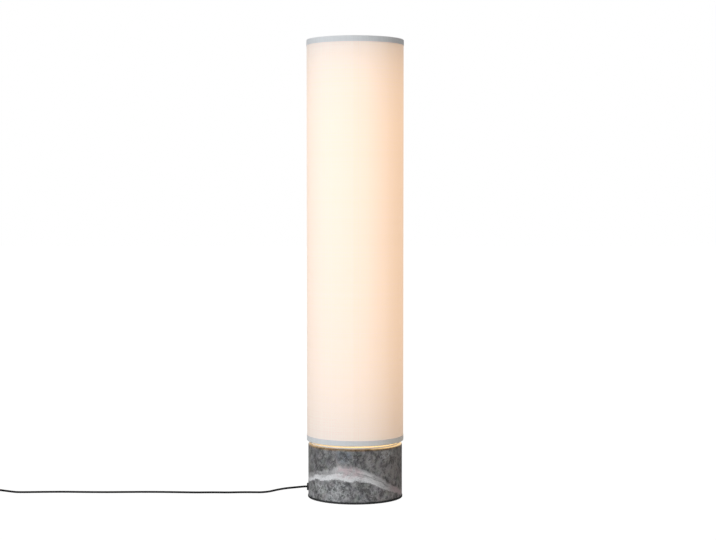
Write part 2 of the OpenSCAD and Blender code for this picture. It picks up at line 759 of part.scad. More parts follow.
module dimmer_lower() color("black") at_dimmer() difference() {
    union() {
        dimmer_shell(0, dimmer_low_h, dimmer_wall);
        screw_posts(eps, dimmer_low_h - eps);
    }
    screw_places() {
        hole(small_screw_d + 2 * screw_gap, 0, dimmer_low_h);
        translate([0, 0, -eps])
            cylinder(d = small_head_d + 2 * screw_gap, h = head_sink + small_head_h + screw_gap + eps);
    }
}

module dimmer_upper() color("black") at_dimmer() difference() {
    union() {
        dimmer_shell(dimmer_low_h + glue, dimmer_up_h, dimmer_low_h - eps);
        screw_posts(dimmer_low_h + glue, dimmer_up_h - dimmer_wall / 2);
    }
    hole(button_d + 2 * button_gap, dimmer_h - dimmer_wall, dimmer_h + glue);
    screw_places() hole(small_screw_d + 2 * glue, dimmer_low_h, dimmer_low_h + small_screw_grip);
}

// The circuit board, with the switch that the button presses
module dimmer_board() color("green") at_dimmer() {
    width = dimmer_w - 2 * dimmer_wall - 2 * fit_gap;
    translate([-dimmer_board_l / 2, -width / 2, board_low]) cube([dimmer_board_l, width, pcb_t]);
    disc(switch_d, button_low - button_travel - 2 * glue - board_low, board_low);
}

module dimmer_boots() color("black") at_dimmer() for (side = [-1, 1])
    translate([side * dimmer_l / 2, 0, dimmer_z]) rotate([0, side * 90, 0]) boot(dimmer_wall);

module dimmer_screws() color("silver") at_dimmer() screw_places() {
    disc(small_head_d, small_head_h, head_sink);
    disc(small_screw_d, dimmer_low_h + small_screw_grip - head_sink, head_sink);
}

// A small helical spring between the board and the button
module button_spring() color("silver") {
    steps = spring_turns * 16;
    height = button_low - glue - spring_wire_d - spring_low;
    path = [for (i = [0 : steps]) let (a = 360 * i / 16)
        [spring_r * cos(a), spring_r * sin(a), spring_low + spring_wire_d / 2 + height * i / steps]];
    at_dimmer() swept(path, spring_wire_d, 6);
}

module dimmer_button() color("dimgray") at_dimmer() {
    disc(button_d, dimmer_h + button_rise - button_low, button_low);
    disc(button_d + 2 * button_lip, button_flange_h, button_low);
}

// The plug adapter at the cord's end

module at_adapter() translate([adapter_x, adapter_y, 0]) children();

module adapter_hollow() translate([0, 0, adapter_wall])
    rounded_slab(adapter_l - 2 * adapter_wall, adapter_w - 2 * adapter_wall, adapter_h - 2 * adapter_wall,
        adapter_corner - adapter_wall);

// The half of the adapter on one side of its joint: side -1 is the one with the pins
module adapter_half(side) intersection() {
    difference() {
        rounded_slab(adapter_l, adapter_w, adapter_h, adapter_corner);
        adapter_hollow();
        boot_hole(-adapter_l / 2, adapter_wall, adapter_z);
        for (x = [-1, 1]) translate([x * pin_gap / 2, 0, adapter_h / 2]) rotate([90, 0, 0])
            cylinder(d = sleeve_d + 2 * glue, h = adapter_w);
    }
    translate([-adapter_l, side < 0 ? -adapter_w : glue, -eps])
        cube([2 * adapter_l, adapter_w, adapter_h + 2 * eps]);
}

module adapter_front() color("black") at_adapter() adapter_half(-1);

module adapter_back() color("black") at_adapter() adapter_half(1);

// The circuit board that stands in the adapter, with its transformer
module adapter_board() color("green") at_adapter() {
    height = adapter_h - 2 * adapter_wall - 2 * fit_gap;
    translate([-adapter_l / 2 + adapter_board_inset, adapter_board_y, adapter_wall + fit_gap])
        cube([adapter_l - 2 * adapter_board_inset, pcb_t, height]);
    translate([-transformer_l / 2, adapter_board_y + pcb_t / 2, (adapter_h - transformer_h) / 2])
        cube([transformer_l, transformer_w, transformer_h]);
}

module adapter_boot() color("black") at_adapter()
    translate([-adapter_l / 2, 0, adapter_z]) rotate([0, -90, 0]) boot(adapter_wall);

module at_pins() at_adapter() for (x = [-1, 1])
    translate([x * pin_gap / 2, -adapter_w / 2, adapter_h / 2]) rotate([90, 0, 0]) children();

module adapter_pins() color("gold") at_pins() {
    translate([0, 0, -pin_root]) cylinder(d = pin_core_d, h = pin_root + pin_sleeve_l + 1);
    translate([0, 0, pin_sleeve_l]) cylinder(d = pin_d, h = pin_bare_l);
}

module pin_sleeves() color("black") at_pins()
    pipe(sleeve_d, pin_core_d + 2 * glue, adapter_wall + pin_sleeve_l - glue, -adapter_wall);

marble_base();
foot_ring();
bottom_cover();
cover_screws();
cover_inserts();
cord_grommet();
inner_lead();
cord_clamp();
clamp_screws();
terminal_block();
terminal_screws();
wire_positive();
wire_negative();
mast_tube();
mast_washer();
mast_nut();
reflector_plate();
lower_cap();
led_core();
feed_board();
led_strip_front();
led_strip_right();
led_strip_back();
led_strip_left();
opal_tube();
upper_cap();
cap_nut();
top_rod();
shade_fabric();
shade_liner();
top_tape();
bottom_tape();
top_ring();
bottom_ring();
top_spider();
bottom_spider();
finial_knob();
finial_insert();
cord_run();
cord_coil();
coil_ties();
dimmer_lower();
dimmer_upper();
dimmer_board();
dimmer_boots();
dimmer_screws();
button_spring();
dimmer_button();
adapter_front();
adapter_back();
adapter_board();
adapter_boot();
adapter_pins();
pin_sleeves();
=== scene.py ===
"""The looks of the column floor lamp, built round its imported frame. Lengths are in metres."""
import json
import math

import bpy
import numpy as np
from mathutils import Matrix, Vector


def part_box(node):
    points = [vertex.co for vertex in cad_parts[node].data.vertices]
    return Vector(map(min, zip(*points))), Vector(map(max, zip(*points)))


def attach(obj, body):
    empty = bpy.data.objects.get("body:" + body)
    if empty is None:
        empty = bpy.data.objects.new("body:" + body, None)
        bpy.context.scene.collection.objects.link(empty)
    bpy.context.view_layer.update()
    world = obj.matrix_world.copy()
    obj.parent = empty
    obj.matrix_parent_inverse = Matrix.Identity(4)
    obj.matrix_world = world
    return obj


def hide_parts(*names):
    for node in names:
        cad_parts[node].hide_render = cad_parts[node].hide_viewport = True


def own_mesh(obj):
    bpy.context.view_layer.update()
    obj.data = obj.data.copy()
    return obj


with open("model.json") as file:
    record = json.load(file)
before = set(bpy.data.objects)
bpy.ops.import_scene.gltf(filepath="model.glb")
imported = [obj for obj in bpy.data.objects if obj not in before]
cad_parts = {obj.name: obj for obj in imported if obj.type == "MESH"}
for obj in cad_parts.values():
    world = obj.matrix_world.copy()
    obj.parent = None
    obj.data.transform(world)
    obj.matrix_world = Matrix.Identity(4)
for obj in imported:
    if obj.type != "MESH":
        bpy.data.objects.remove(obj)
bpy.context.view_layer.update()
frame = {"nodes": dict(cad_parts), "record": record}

MM = 0.001
PI = math.pi
X, Y, Z = range(3)


def span(node, axis):
    """Where a CAD node begins and ends along an axis."""
    low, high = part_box(node)
    return low[axis], high[axis]


# ---- camera

# Fitted to the lamp's outline in the photograph
CAMERA_PLACE = (0.005, -2.7875, 0.5219)
CAMERA_DOWN = math.radians(2.526)
CAMERA_LENS_MM = 79.95
SENSOR_MM = 36.0


def placed(name, data):
    """A new object of the data, in the scene."""
    made = bpy.data.objects.new(name, data)
    bpy.context.scene.collection.objects.link(made)
    return made


def make_camera():
    """The photograph's camera: level but for CAMERA_DOWN, and looking along +Y."""
    data = bpy.data.cameras.new("camera")
    data.lens = CAMERA_LENS_MM
    data.sensor_width = SENSOR_MM
    data.clip_start = 0.01
    data.clip_end = 200.0
    camera = placed("camera", data)
    camera.location = CAMERA_PLACE
    camera.rotation_euler = (PI / 2 - CAMERA_DOWN, 0.0, 0.0)
    bpy.context.scene.camera = camera


make_camera()

# ---- surfaces


def skin(rings, along, around, loop=False):
    """A surface through closed rings of points: point j of ring i is joined to its neighbours j + 1 and
    i + 1. along and around are the UV map's values at the rings and round them, in metres; around has
    one value more than a ring has points. loop joins the last ring to the first. Without it, a fan of
    triangles to the ring's middle closes each end."""
    rings = np.asarray(rings, float)
    m, n = rings.shape[:2]
    i, j = np.meshgrid(np.arange(m if loop else m - 1), np.arange(n), indexing="ij")
    i, j = i.ravel(), j.ravel()
    k, l = (i + 1) % m, (j + 1) % n
    quads = np.stack([i * n + j, i * n + l, k * n + l, k * n + j], axis=1)
    along, around = np.asarray(along, float), np.asarray(around, float)
    corners = ((0, 0), (1, 0), (1, 1), (0, 1))
    uv = np.stack([np.stack([around[j + a], along[i + b]], axis=1) for a, b in corners], axis=1)
    points, fans, fan_uv = [rings.reshape(-1, 3)], [], []
    j, l = np.arange(n), (np.arange(n) + 1) % n
    for ring, turn in () if loop else ((0, (l, j)), (m - 1, (j, l))):
        middle = np.full(n, sum(len(p) for p in points))
        points.append(rings[ring].mean(axis=0)[None])
        fans.append(np.stack([middle, ring * n + turn[0], ring * n + turn[1]], axis=1))
        fan_uv.append(np.stack([np.column_stack([around[j], np.full(n, along[ring])])] * 3, axis=1))
    return np.concatenate(points), quads, uv, fans, fan_uv


def piece(name, skins, sharp=35.0):
    """One mesh object of several skins, with outward faces. A closed surface whose signed volume, the sum
    of each triangle's triple product over six, comes out negative is turned over."""
    points, loops, sizes, uvs, start = [], [], [], [], 0
    for p, quads, uv, fans, fan_uv in skins:
        faces = [quads] + fans
        volume = sum(np.einsum("ij,ij->i", p[f[:, 0]], np.cross(p[f[:, a]], p[f[:, a + 1]])).sum()
                     for f in faces for a in range(1, f.shape[1] - 1))
        step = -1 if volume < 0 else 1
        for f, m in zip(faces, [uv] + fan_uv):
            loops.append((f[:, ::step] + start).ravel())
            sizes.append(np.full(len(f), f.shape[1]))
            uvs.append(m[:, ::step].reshape(-1, 2))
        points.append(p)
        start += len(p)
    points, loops, sizes, uvs = (np.concatenate(x) for x in (points, loops, sizes, uvs))
    mesh = bpy.data.meshes.new(name)
    mesh.vertices.add(len(points))
    mesh.vertices.foreach_set("co", points.astype(np.float32).ravel())
    mesh.loops.add(len(loops))
    mesh.loops.foreach_set("vertex_index", loops.astype(np.int32))
    mesh.polygons.add(len(sizes))
    mesh.polygons.foreach_set("loop_start", (np.cumsum(sizes) - sizes).astype(np.int32))
    mesh.update(calc_edges=True)
    mesh.validate()
    layer = mesh.uv_layers.new(name="UVMap")
    layer.data.foreach_set("uv", uvs.astype(np.float32).ravel())
    mesh.polygons.foreach_set("use_smooth", np.ones(len(sizes), bool))
    mesh.set_sharp_from_angle(angle=math.radians(sharp))
    return placed(name, mesh)


def circle(steps):
    """Equal angles round a circle."""
    return 2 * PI * np.arange(steps) / steps


def unit(vectors):
    """Vectors over their own lengths."""
    return vectors / np.linalg.norm(vectors, axis=1)[:, None]


def lengths(points):
    """Distance along a line of points, from its first."""
    return np.concatenate([[0.0], np.cumsum(np.linalg.norm(np.diff(points, axis=0), axis=1))])


def turned(profile, origin=(0, 0, 0), axis=(0, 0, 1), steps=64, bulge=None, loop=False):
    """A profile of (distance along the axis, radius) turned about the axis. Ring i's point j is
    origin + axis * distance_i + radius_i * (cos a_j, sin a_j) in the plane square to the axis. bulge,
    with a row for each profile point and a column for each angle, is added to the radius."""
    profile = np.asarray(profile, float)
    axis = np.asarray(axis, float)
    side = np.array([1.0, 0, 0]) if abs(axis[0]) < 0.5 else np.array([0, 1.0, 0])
    other = np.cross(axis, side)
    a = circle(steps)
    radius = profile[:, 1:2] + (0 if bulge is None else bulge)
    out = np.cos(a)[:, None] * side + np.sin(a)[:, None] * other
    rings = np.asarray(origin, float) + profile[:, :1, None] * axis + radius[..., None] * out
    widest = profile[:, 1].max()
    closed = np.vstack([profile, profile[:1]]) if loop else profile
    return skin(rings, lengths(closed), widest * 2 * PI * np.arange(steps + 1) / steps, loop)


def tube(path, diameter, sides):
    """A round tube along a path that is never upright. Each ring lies in the plane of the level
    direction square to the path and the direction square to both, at half the diameter."""
    t = unit(np.gradient(path, axis=0))
    flat = unit(np.cross(t, [0, 0, 1.0]))
    up = np.cross(flat, t)
    a = circle(sides)
    out = np.cos(a)[:, None] * flat[:, None] + np.sin(a)[:, None] * up[:, None]
    rings = path[:, None] + diameter / 2 * out
    around = diameter * PI * np.arange(sides + 1) / sides
    return skin(rings, lengths(path), around)


def followed(points, value):
    """The points or distances, each followed by the same value."""
    return np.column_stack([points, np.full(len(points), value)])


def arc(middle, radius, start, end, count=7):
    """Points on a circle's arc: middle + radius * (cos a, sin a), with a in degrees."""
    a = np.radians(np.linspace(start, end, count))
    return np.stack([middle[0] + radius * np.cos(a), middle[1] + radius * np.sin(a)], axis=1)


def smooth_route(points, steps):
    """The curve through the points whose tangent at each is half the step between its neighbours:
    (2u3 - 3u2 + 1) b + (u3 - 2u2 + u) m + (3u2 - 2u3) c + (u3 - u2) n between b and c."""
    p = np.asarray(points, float)
    m = (np.vstack([p[1:], p[-1:]]) - np.vstack([p[:1], p[:-1]])) / 2
    u = (np.arange(steps) / steps)[None, :, None]
    b, c, m, n = p[:-1, None], p[1:, None], m[:-1, None], m[1:, None]
    curve = ((2 * u**3 - 3 * u**2 + 1) * b + (u**3 - 2 * u**2 + u) * m
             + (3 * u**2 - 2 * u**3) * c + (u**3 - u**2) * n)
    return np.vstack([curve.reshape(-1, 3), p[-1:]])


def smoothstep(low, high, x):
    """0 before low, 1 after high, and 3u2 - 2u3 between them."""
    u = np.clip((x - low) / (high - low), 0, 1)
    return u * u * (3 - 2 * u)


# ---- cords

CORD_D = 3.6 * MM
RUN_STEPS = 10
CORD_SIDES = 16

# The free cord's route on the floor, from the grommet to the dimmer, in mm
RUN_ROUTE = [
    [-85, 0, 16.5], [-89, 0, 16.5], [-98, 0.5, 15.6], [-111, 2.5, 14], [-125, 6, 11.8],
    [-139, 11, 8.4], [-153, 17, 4.4], [-167, 22, 2.2], [-182, 24, 1.8], [-204, 24, 1.8],
    [-227, 22, 1.8], [-254, 23, 1.8], [-282, 22, 1.8], [-310, 24, 1.8], [-340, 26, 1.8],
    [-374, 27, 1.8], [-410, 26, 1.8], [-446, 25, 1.8], [-482, 26, 1.8], [-518, 28, 1.8],
    [-552, 27, 1.8], [-584, 25, 1.8], [-604, 24, 2.2], [-620, 24, 4], [-632, 24, 5.6],
    [-637, 24, 6], [-640, 24, 6]]
# Each cord runs on into the strain reliefs that hold it
RUN_INSIDE = [[-650, 24, 6], [-660, 24, 6]]

# The coil of spare cord, in mm
COIL_X = -762
COIL_INNER_R = 16
COIL_PITCH = 4.2
COIL_LAYERS = 4
LAYER_PITCH = 4.3
LAYER_TURNS = 2.625
COIL_Z = 2.7
LOOP_POINTS = 48
COIL_OUTER_R = COIL_INNER_R + LAYER_TURNS * COIL_PITCH
CORD_Y = 24
COIL_Y = CORD_Y - COIL_OUTER_R
ADAPTER_Y = COIL_Y - COIL_OUTER_R
ADAPTER_Z = COIL_Z + (COIL_LAYERS - 1) * LAYER_PITCH
COIL_IN = [[x, CORD_Y, z] for x, z in ((-708, 6), (-716, 6), (-724, 6), (-727.6, 6), (-737, 5.3),
                                       (-747, COIL_Z + 0.7))]
COIL_OUT = [[x, ADAPTER_Y, ADAPTER_Z] for x in (-750, -729.6, -726, -716, -706)]


def coil_turns():
    """The coil's turns as points. The angle is 90 degrees and a full circle a turn. The radius runs from
    the outside in on even layers and back out on odd ones, by the pitch a turn. The height climbs a
    layer in the half turn round each reversal, as 3u2 - 2u3."""
    turn = np.arange(int(COIL_LAYERS * LAYER_TURNS * LOOP_POINTS) + 1) / LOOP_POINTS
    layer = np.floor(turn / LAYER_TURNS)
    done = turn - layer * LAYER_TURNS
    radius = np.where(layer % 2 == 0, COIL_OUTER_R - COIL_PITCH * done, COIL_INNER_R + COIL_PITCH * done)
    height = COIL_Z + LAYER_PITCH * sum(
        smoothstep(-0.25, 0.25, turn - k * LAYER_TURNS) for k in range(1, COIL_LAYERS))
    a = PI / 2 + 2 * PI * turn
    return np.stack([COIL_X + radius * np.cos(a), COIL_Y + radius * np.sin(a), height], axis=1)


run_path = smooth_route(RUN_ROUTE + RUN_INSIDE, RUN_STEPS) * MM
run_path[:, 2] = np.maximum(run_path[:, 2], CORD_D / 2)
floor_cord = piece("floor_cord", [tube(run_path, CORD_D, CORD_SIDES)])

turns = coil_turns()
coil_path = np.vstack([smooth_route(COIL_IN + [turns[0]], 4)[:-1], turns,
                       smooth_route([turns[-1]] + COIL_OUT, 4)[1:]]) * MM
coiled_cord = piece("coiled_cord", [tube(coil_path, CORD_D, CORD_SIDES)])

# ---- shader nodes


class Wire:
    """A socket of a shader tree that takes part in sums: each sign adds a Math node."""

    def __init__(self, nodes, socket):
        self.nodes, self.socket = nodes, socket

    def __add__(self, other):
        return self.nodes.math("ADD", self, other)

    def __sub__(self, other):
        return self.nodes.math("SUBTRACT", self, other)

    def __rsub__(self, other):
        return self.nodes.math("SUBTRACT", other, self)

    def __mul__(self, other):
        return self.nodes.math("MULTIPLY", self, other)

    def __truediv__(self, other):
        return self.nodes.math("DIVIDE", self, other)

    def __abs__(self):
        return self.nodes.math("ABSOLUTE", self)

    __radd__, __rmul__ = __add__, __mul__


class Nodes:
    """Adds nodes to a shader tree. An input is a wire to link or a constant."""

    def __init__(self, tree):
        self.tree = tree
        tree.nodes.clear()

    def fill(self, node, inputs):
        """Links or sets a node's inputs, by name or in order."""
        for key, value in inputs.items() if isinstance(inputs, dict) else enumerate(inputs):
            socket = node.inputs[key.replace("_", " ") if isinstance(key, str) else key]
            if isinstance(value, Wire):
                self.tree.links.new(value.socket, socket)
            else:
                socket.default_value = (*value, 1.0) if socket.type == "RGBA" else value

    def add(self, kind, inputs=(), give=0, **settings):
        """A new node's output, or the node itself where give is None."""
        made = self.tree.nodes.new("ShaderNode" + kind)
        for key, value in settings.items():
            setattr(made, key, value)
        self.fill(made, inputs)
        return made if give is None else Wire(self, made.outputs[give])

    def every(self, kind, inputs, **settings):
        """All of a new node's outputs."""
        return [Wire(self, socket) for socket in self.add(kind, inputs, None, **settings).outputs]

    def group(self, tree, **inputs):
        return self.every("Group", inputs, node_tree=tree)

    def math(self, operation, *values):
        return self.add("Math", values, operation=operation)

    def larger(self, a, b):
        return self.math("MAXIMUM", a, b)

    def vector(self, operation, *values):
        return self.add("VectorMath", values, operation=operation)

    def split(self, v):
        return self.every("SeparateXYZ", [v])

    def joined(self, *values):
        return self.add("CombineXYZ", values)

    def fade(self, value, low, high, start=0.0, end=1.0):
        """start below low, end above high, and a smooth step between them."""
        return self.add("MapRange", (value, low, high, start, end), interpolation_type="SMOOTHSTEP")

    def mix(self, share, a, b, blend="MIX"):
        return self.add("Mix", {0: share, 6: a, 7: b}, 2, data_type="RGBA", blend_type=blend)

    def tint(self, color, by, share=1.0):
        """A colour times another."""
        return self.mix(share, color, by, "MULTIPLY")

    def grey(self, value):
        return self.add("CombineColor", [value] * 3)

    def scaled(self, v, *scale):
        """A vector times one number, or times three, one for each axis."""
        return self.add("Mapping", {"Vector": v, "Scale": scale * (3 // len(scale))})

    def noise(self, v, scale, detail=4.0, rough=0.55, give=0):
        return self.add("TexNoise", {"Vector": v, "Scale": scale, "Detail": detail, "Roughness": rough}, give)

    def cells(self, v, scale, feature="F1", randomness=1.0, give=0):
        return self.add("TexVoronoi", {"Vector": v, "Scale": scale, "Randomness": randomness}, give,
                        feature=feature)

    def bump(self, height, distance, strength, normal=None):
        inputs = {"Height": height, "Distance": distance, "Strength": strength}
        return self.add("Bump", inputs | ({"Normal": normal} if normal else {}))

    def uv(self):
        return self.add("UVMap", uv_map="UVMap")

    def eye(self):
        """1 where the camera looks, 0 where light bounces."""
        return self.add("LightPath", (), "Is Camera Ray")


def node_group(name, takes, gives, build):
    """A shader node group. takes and gives name its inputs and outputs and say their kinds; build is
    given the inputs and returns the outputs in order."""
    tree = bpy.data.node_groups.new(name, "ShaderNodeTree")
    for side, sockets in (("INPUT", takes), ("OUTPUT", gives)):
        for label, kind in sockets.items():
            tree.interface.new_socket(name=label, in_out=side, socket_type="NodeSocket" + kind)
    n = Nodes(tree)
    entry = tree.nodes.new("NodeGroupInput").outputs
    leave = tree.nodes.new("NodeGroupOutput")
    n.fill(leave, build(n, *(Wire(n, socket) for socket in entry[:len(takes)])))
    return tree


def build_weave(n, uv, pitch, sway):
    """Plain weave: along and across in threads, over and under by the parity of both thread numbers.
    Each thread is round, |sin| of its own coordinate, and has its own tone and thickness."""
    along, across, _ = n.split(uv)
    drift = (n.noise(n.scaled(uv, 60), 1.0, 2.0) - 0.5) * sway
    u, v = along / pitch + drift, across / pitch + drift
    warp_id, weft_id = n.math("FLOOR", u), n.math("FLOOR", v)
    over = n.math("PINGPONG", warp_id + weft_id, 1.0)
    warp, weft = (abs(n.math("SINE", w * PI)) for w in (u, v))
    height = (warp * over + weft * (1.0 - over)) * (0.6 + 0.4 * n.larger(warp, weft))
    warp_tone, weft_tone = (n.add("TexWhiteNoise", {"W": w}, noise_dimensions="1D")
                            for w in (warp_id, weft_id + 0.37))
    slub_u, slub_v = (n.noise(n.joined(u * a, v * b), 1.0, 2.0) for a, b in ((0.9, 0.03), (0.03, 0.9)))
    return height, (warp_tone + weft_tone + (slub_u + slub_v)) * 0.25


def build_grain(n, vector, scale):
    """Fine pebbled grain: cells rounded by their distance, over soft noise."""
    v = n.add("VectorMath", {0: vector, "Scale": scale}, operation="SCALE")
    return n.cells(v, 1.0, "SMOOTH_F1") * -0.7 + n.noise(v, 0.35, 3.0) * 0.6, n.noise(v, 0.05, 5.0, 0.6)


def build_lines(n, vector):
    """Fine drawn lines: noise stretched along one direction by the vector it is given."""
    coarse = n.noise(n.scaled(vector, 0.12), 1.0, 2.0)
    return n.noise(vector, 1.0, 3.0, 0.7) * 0.7 + coarse * 0.3, coarse


def build_wear(n, vector, width):
    """Edges: how far the normal of a rounded copy of the surface turns away from the real one, broken
    up by noise."""
    soft = n.add("Bevel", {"Radius": width}, samples=4)
    true = n.add("NewGeometry", (), "Normal")
    turn = n.add("VectorMath", (soft, true), "Value", operation="DOT_PRODUCT")
    rough = n.fade(n.noise(vector, 900.0, 5.0), 0.35, 0.65)
    return n.fade(turn, 0.995, 0.93) * (0.35 + 0.65 * rough), soft


def build_dust(n, vector):
    """Dust lies where the surface faces up, in clouds and single specks."""
    up = n.split(n.add("NewGeometry", (), "Normal"))[2]
    clouds = n.fade(n.noise(vector, 45.0, 6.0, 0.65), 0.42, 0.8)
    specks = n.fade(n.cells(vector, 700.0), 0.16, 0.05)
    return [n.fade(up, 0.3, 1.0) * n.larger(clouds, specks * 0.8)]


HEIGHT_TONE = {"Height": "Float", "Tone": "Float"}
WEAVE = node_group("woven threads", {"UV": "Vector", "Pitch": "Float", "Sway": "Float"}, HEIGHT_TONE,
                   build_weave)
GRAIN = node_group("fine grain", {"Vector": "Vector", "Scale": "Float"}, HEIGHT_TONE, build_grain)
LINES = node_group("drawn lines", {"Vector": "Vector"}, HEIGHT_TONE, build_lines)
WEAR = node_group("worn edges", {"Vector": "Vector", "Width": "Float"}, {"Mask": "Float", "Normal": "Vector"},
                  build_wear)
DUST = node_group("settled dust", {"Vector": "Vector"}, {"Mask": "Float"}, build_dust)

# ---- materials

FINISHES = {}    # each material, by its slot's name in the record


class Finish(Nodes):
    """A material's nodes: its Principled shader, with that shader's constants, and object coordinates."""

    def __init__(self, name, **constants):
        made = FINISHES[name] = bpy.data.materials.new(name)
        made.use_nodes = True
        super().__init__(made.node_tree)
        self.shader = self.add("BsdfPrincipled", constants, None)
        self.add("OutputMaterial", {"Surface": Wire(self, self.shader.outputs[0])}, None)
        self.place = self.add("TexCoord", (), "Object")

    def show(self, **wires):
        """Links the shader's inputs."""
        self.fill(self.shader, wires)


# The vein that crosses the drum, in mm: its height at the middle and how that changes
VEIN_Z = 48.8
VEIN_X_SLOPE = -0.18
VEIN_Y_SLOPE = -0.023
VEIN_BEND = -0.0040
VEIN_HALF = 11.5          # half its thickness where it is thickest, which is at this X
VEIN_THICK_X = -8.0
VEIN_THINNING = 0.075     # thickness lost per mm to either side
BRANCH_X = 2.0            # the thin branch starts here
BRANCH_RISE = 12.0        # that far above the vein
BRANCH_FALL = -0.15       # and joins it at this slope
BRANCH_HALF = 2.4
SEAM_RISE = 1.6           # a dark seam runs that far over the vein's middle
SEAM_HALF = 1.3
MAUVE_X = -10.0           # the vein's mauve heart
MAUVE_HALF = 30.0
# Patches on the drum's front: a place on its surface in mm and how far the patch reaches
DARK_PATCHES = (((-17, -81, 33), 13), ((17, -81, 26), 11), ((-64, -52, 66), 14), ((10, -82, 78), 16))
CRACKLED_PATCHES = (((-34, -75, 16), 30), ((-60, -56, 24), 16), ((52, -64, 80), 18))
BLUE_PATCH = ((-19, -80, 84), 20)
# The stone's colours: the first of a pair above the vein, the second below it
STONE_DARK = ((0.062, 0.059, 0.060), (0.063, 0.061, 0.062))
STONE_LIGHT = ((0.295, 0.284, 0.278), (0.36, 0.352, 0.35))
STONE_BLUE = (0.25, 0.265, 0.295)
STONE_WORN = (0.5, 0.5, 0.5)
# painted light: the stone's colour is made lighter towards the right side (+X), standing in for light on that
# side
STONE_RIGHT_PAINTED_LIGHT = (1.20, 1.15, 1.13)   # the right side is lighter
CRACKLE_PALE = (0.60, 0.60, 0.60)
VEIN_STREAKS = ((0.51, 0.493, 0.492), (0.80, 0.78, 0.778))
VEIN_EDGE = (0.94, 0.925, 0.925)
VEIN_MAUVE = (0.64, 0.50, 0.515)
SEAM_DARK = (0.17, 0.165, 0.168)
BRANCH_PALE = (0.50, 0.48, 0.485)
POLISHED_Z = 93.0         # the top and its rim are smoother from here up, in mm
TOP_POLISH = 0.35         # against the honed side
# Painted glow: the stone gives off light of its own along the rim, most at the right (+X), and painted warm
# light tints the stone just below it
RIM_PAINTED_GLOW = (0.66, 0.47, 0.22)
RIM_PAINTED_GLOW_Z = (93.1, 94.5)
RIM_PAINTED_WARM_LIGHT = (1.10, 0.80, 0.52)
RIM_PAINTED_WARM_LIGHT_Z = (90.2, 92.2)


def stone_tone(n, mm, warped):
    """Light and dark in the ground, from 0 to 1: clouds, mottles and grains, with hard-edged flakes."""
    clouds = n.fade(n.noise(warped, 0.055, 4.0, 0.6), 0.34, 0.66)
    mottles = n.fade(n.noise(n.scaled(warped, 1.0, 1.0, 0.7), 0.19, 4.0, 0.62), 0.36, 0.64)
    grains = n.fade(n.noise(mm, 0.8, 3.0, 0.65), 0.36, 0.64)
    flakes = n.split(n.cells(warped, 0.38, give=1))[0]
    return clouds * 0.36 + mottles * 0.36 + grains * 0.13 + flakes * 0.15, clouds, grains


def near(n, place, *patches):
    """1 well inside any of the patches, 0 outside them all."""
    most = 0.0
    for middle, reach in patches:
        away = n.add("VectorMath", (place, middle), "Value", operation="DISTANCE")
        most = n.larger(n.fade(away, reach, 0.35 * reach), most)
    return most


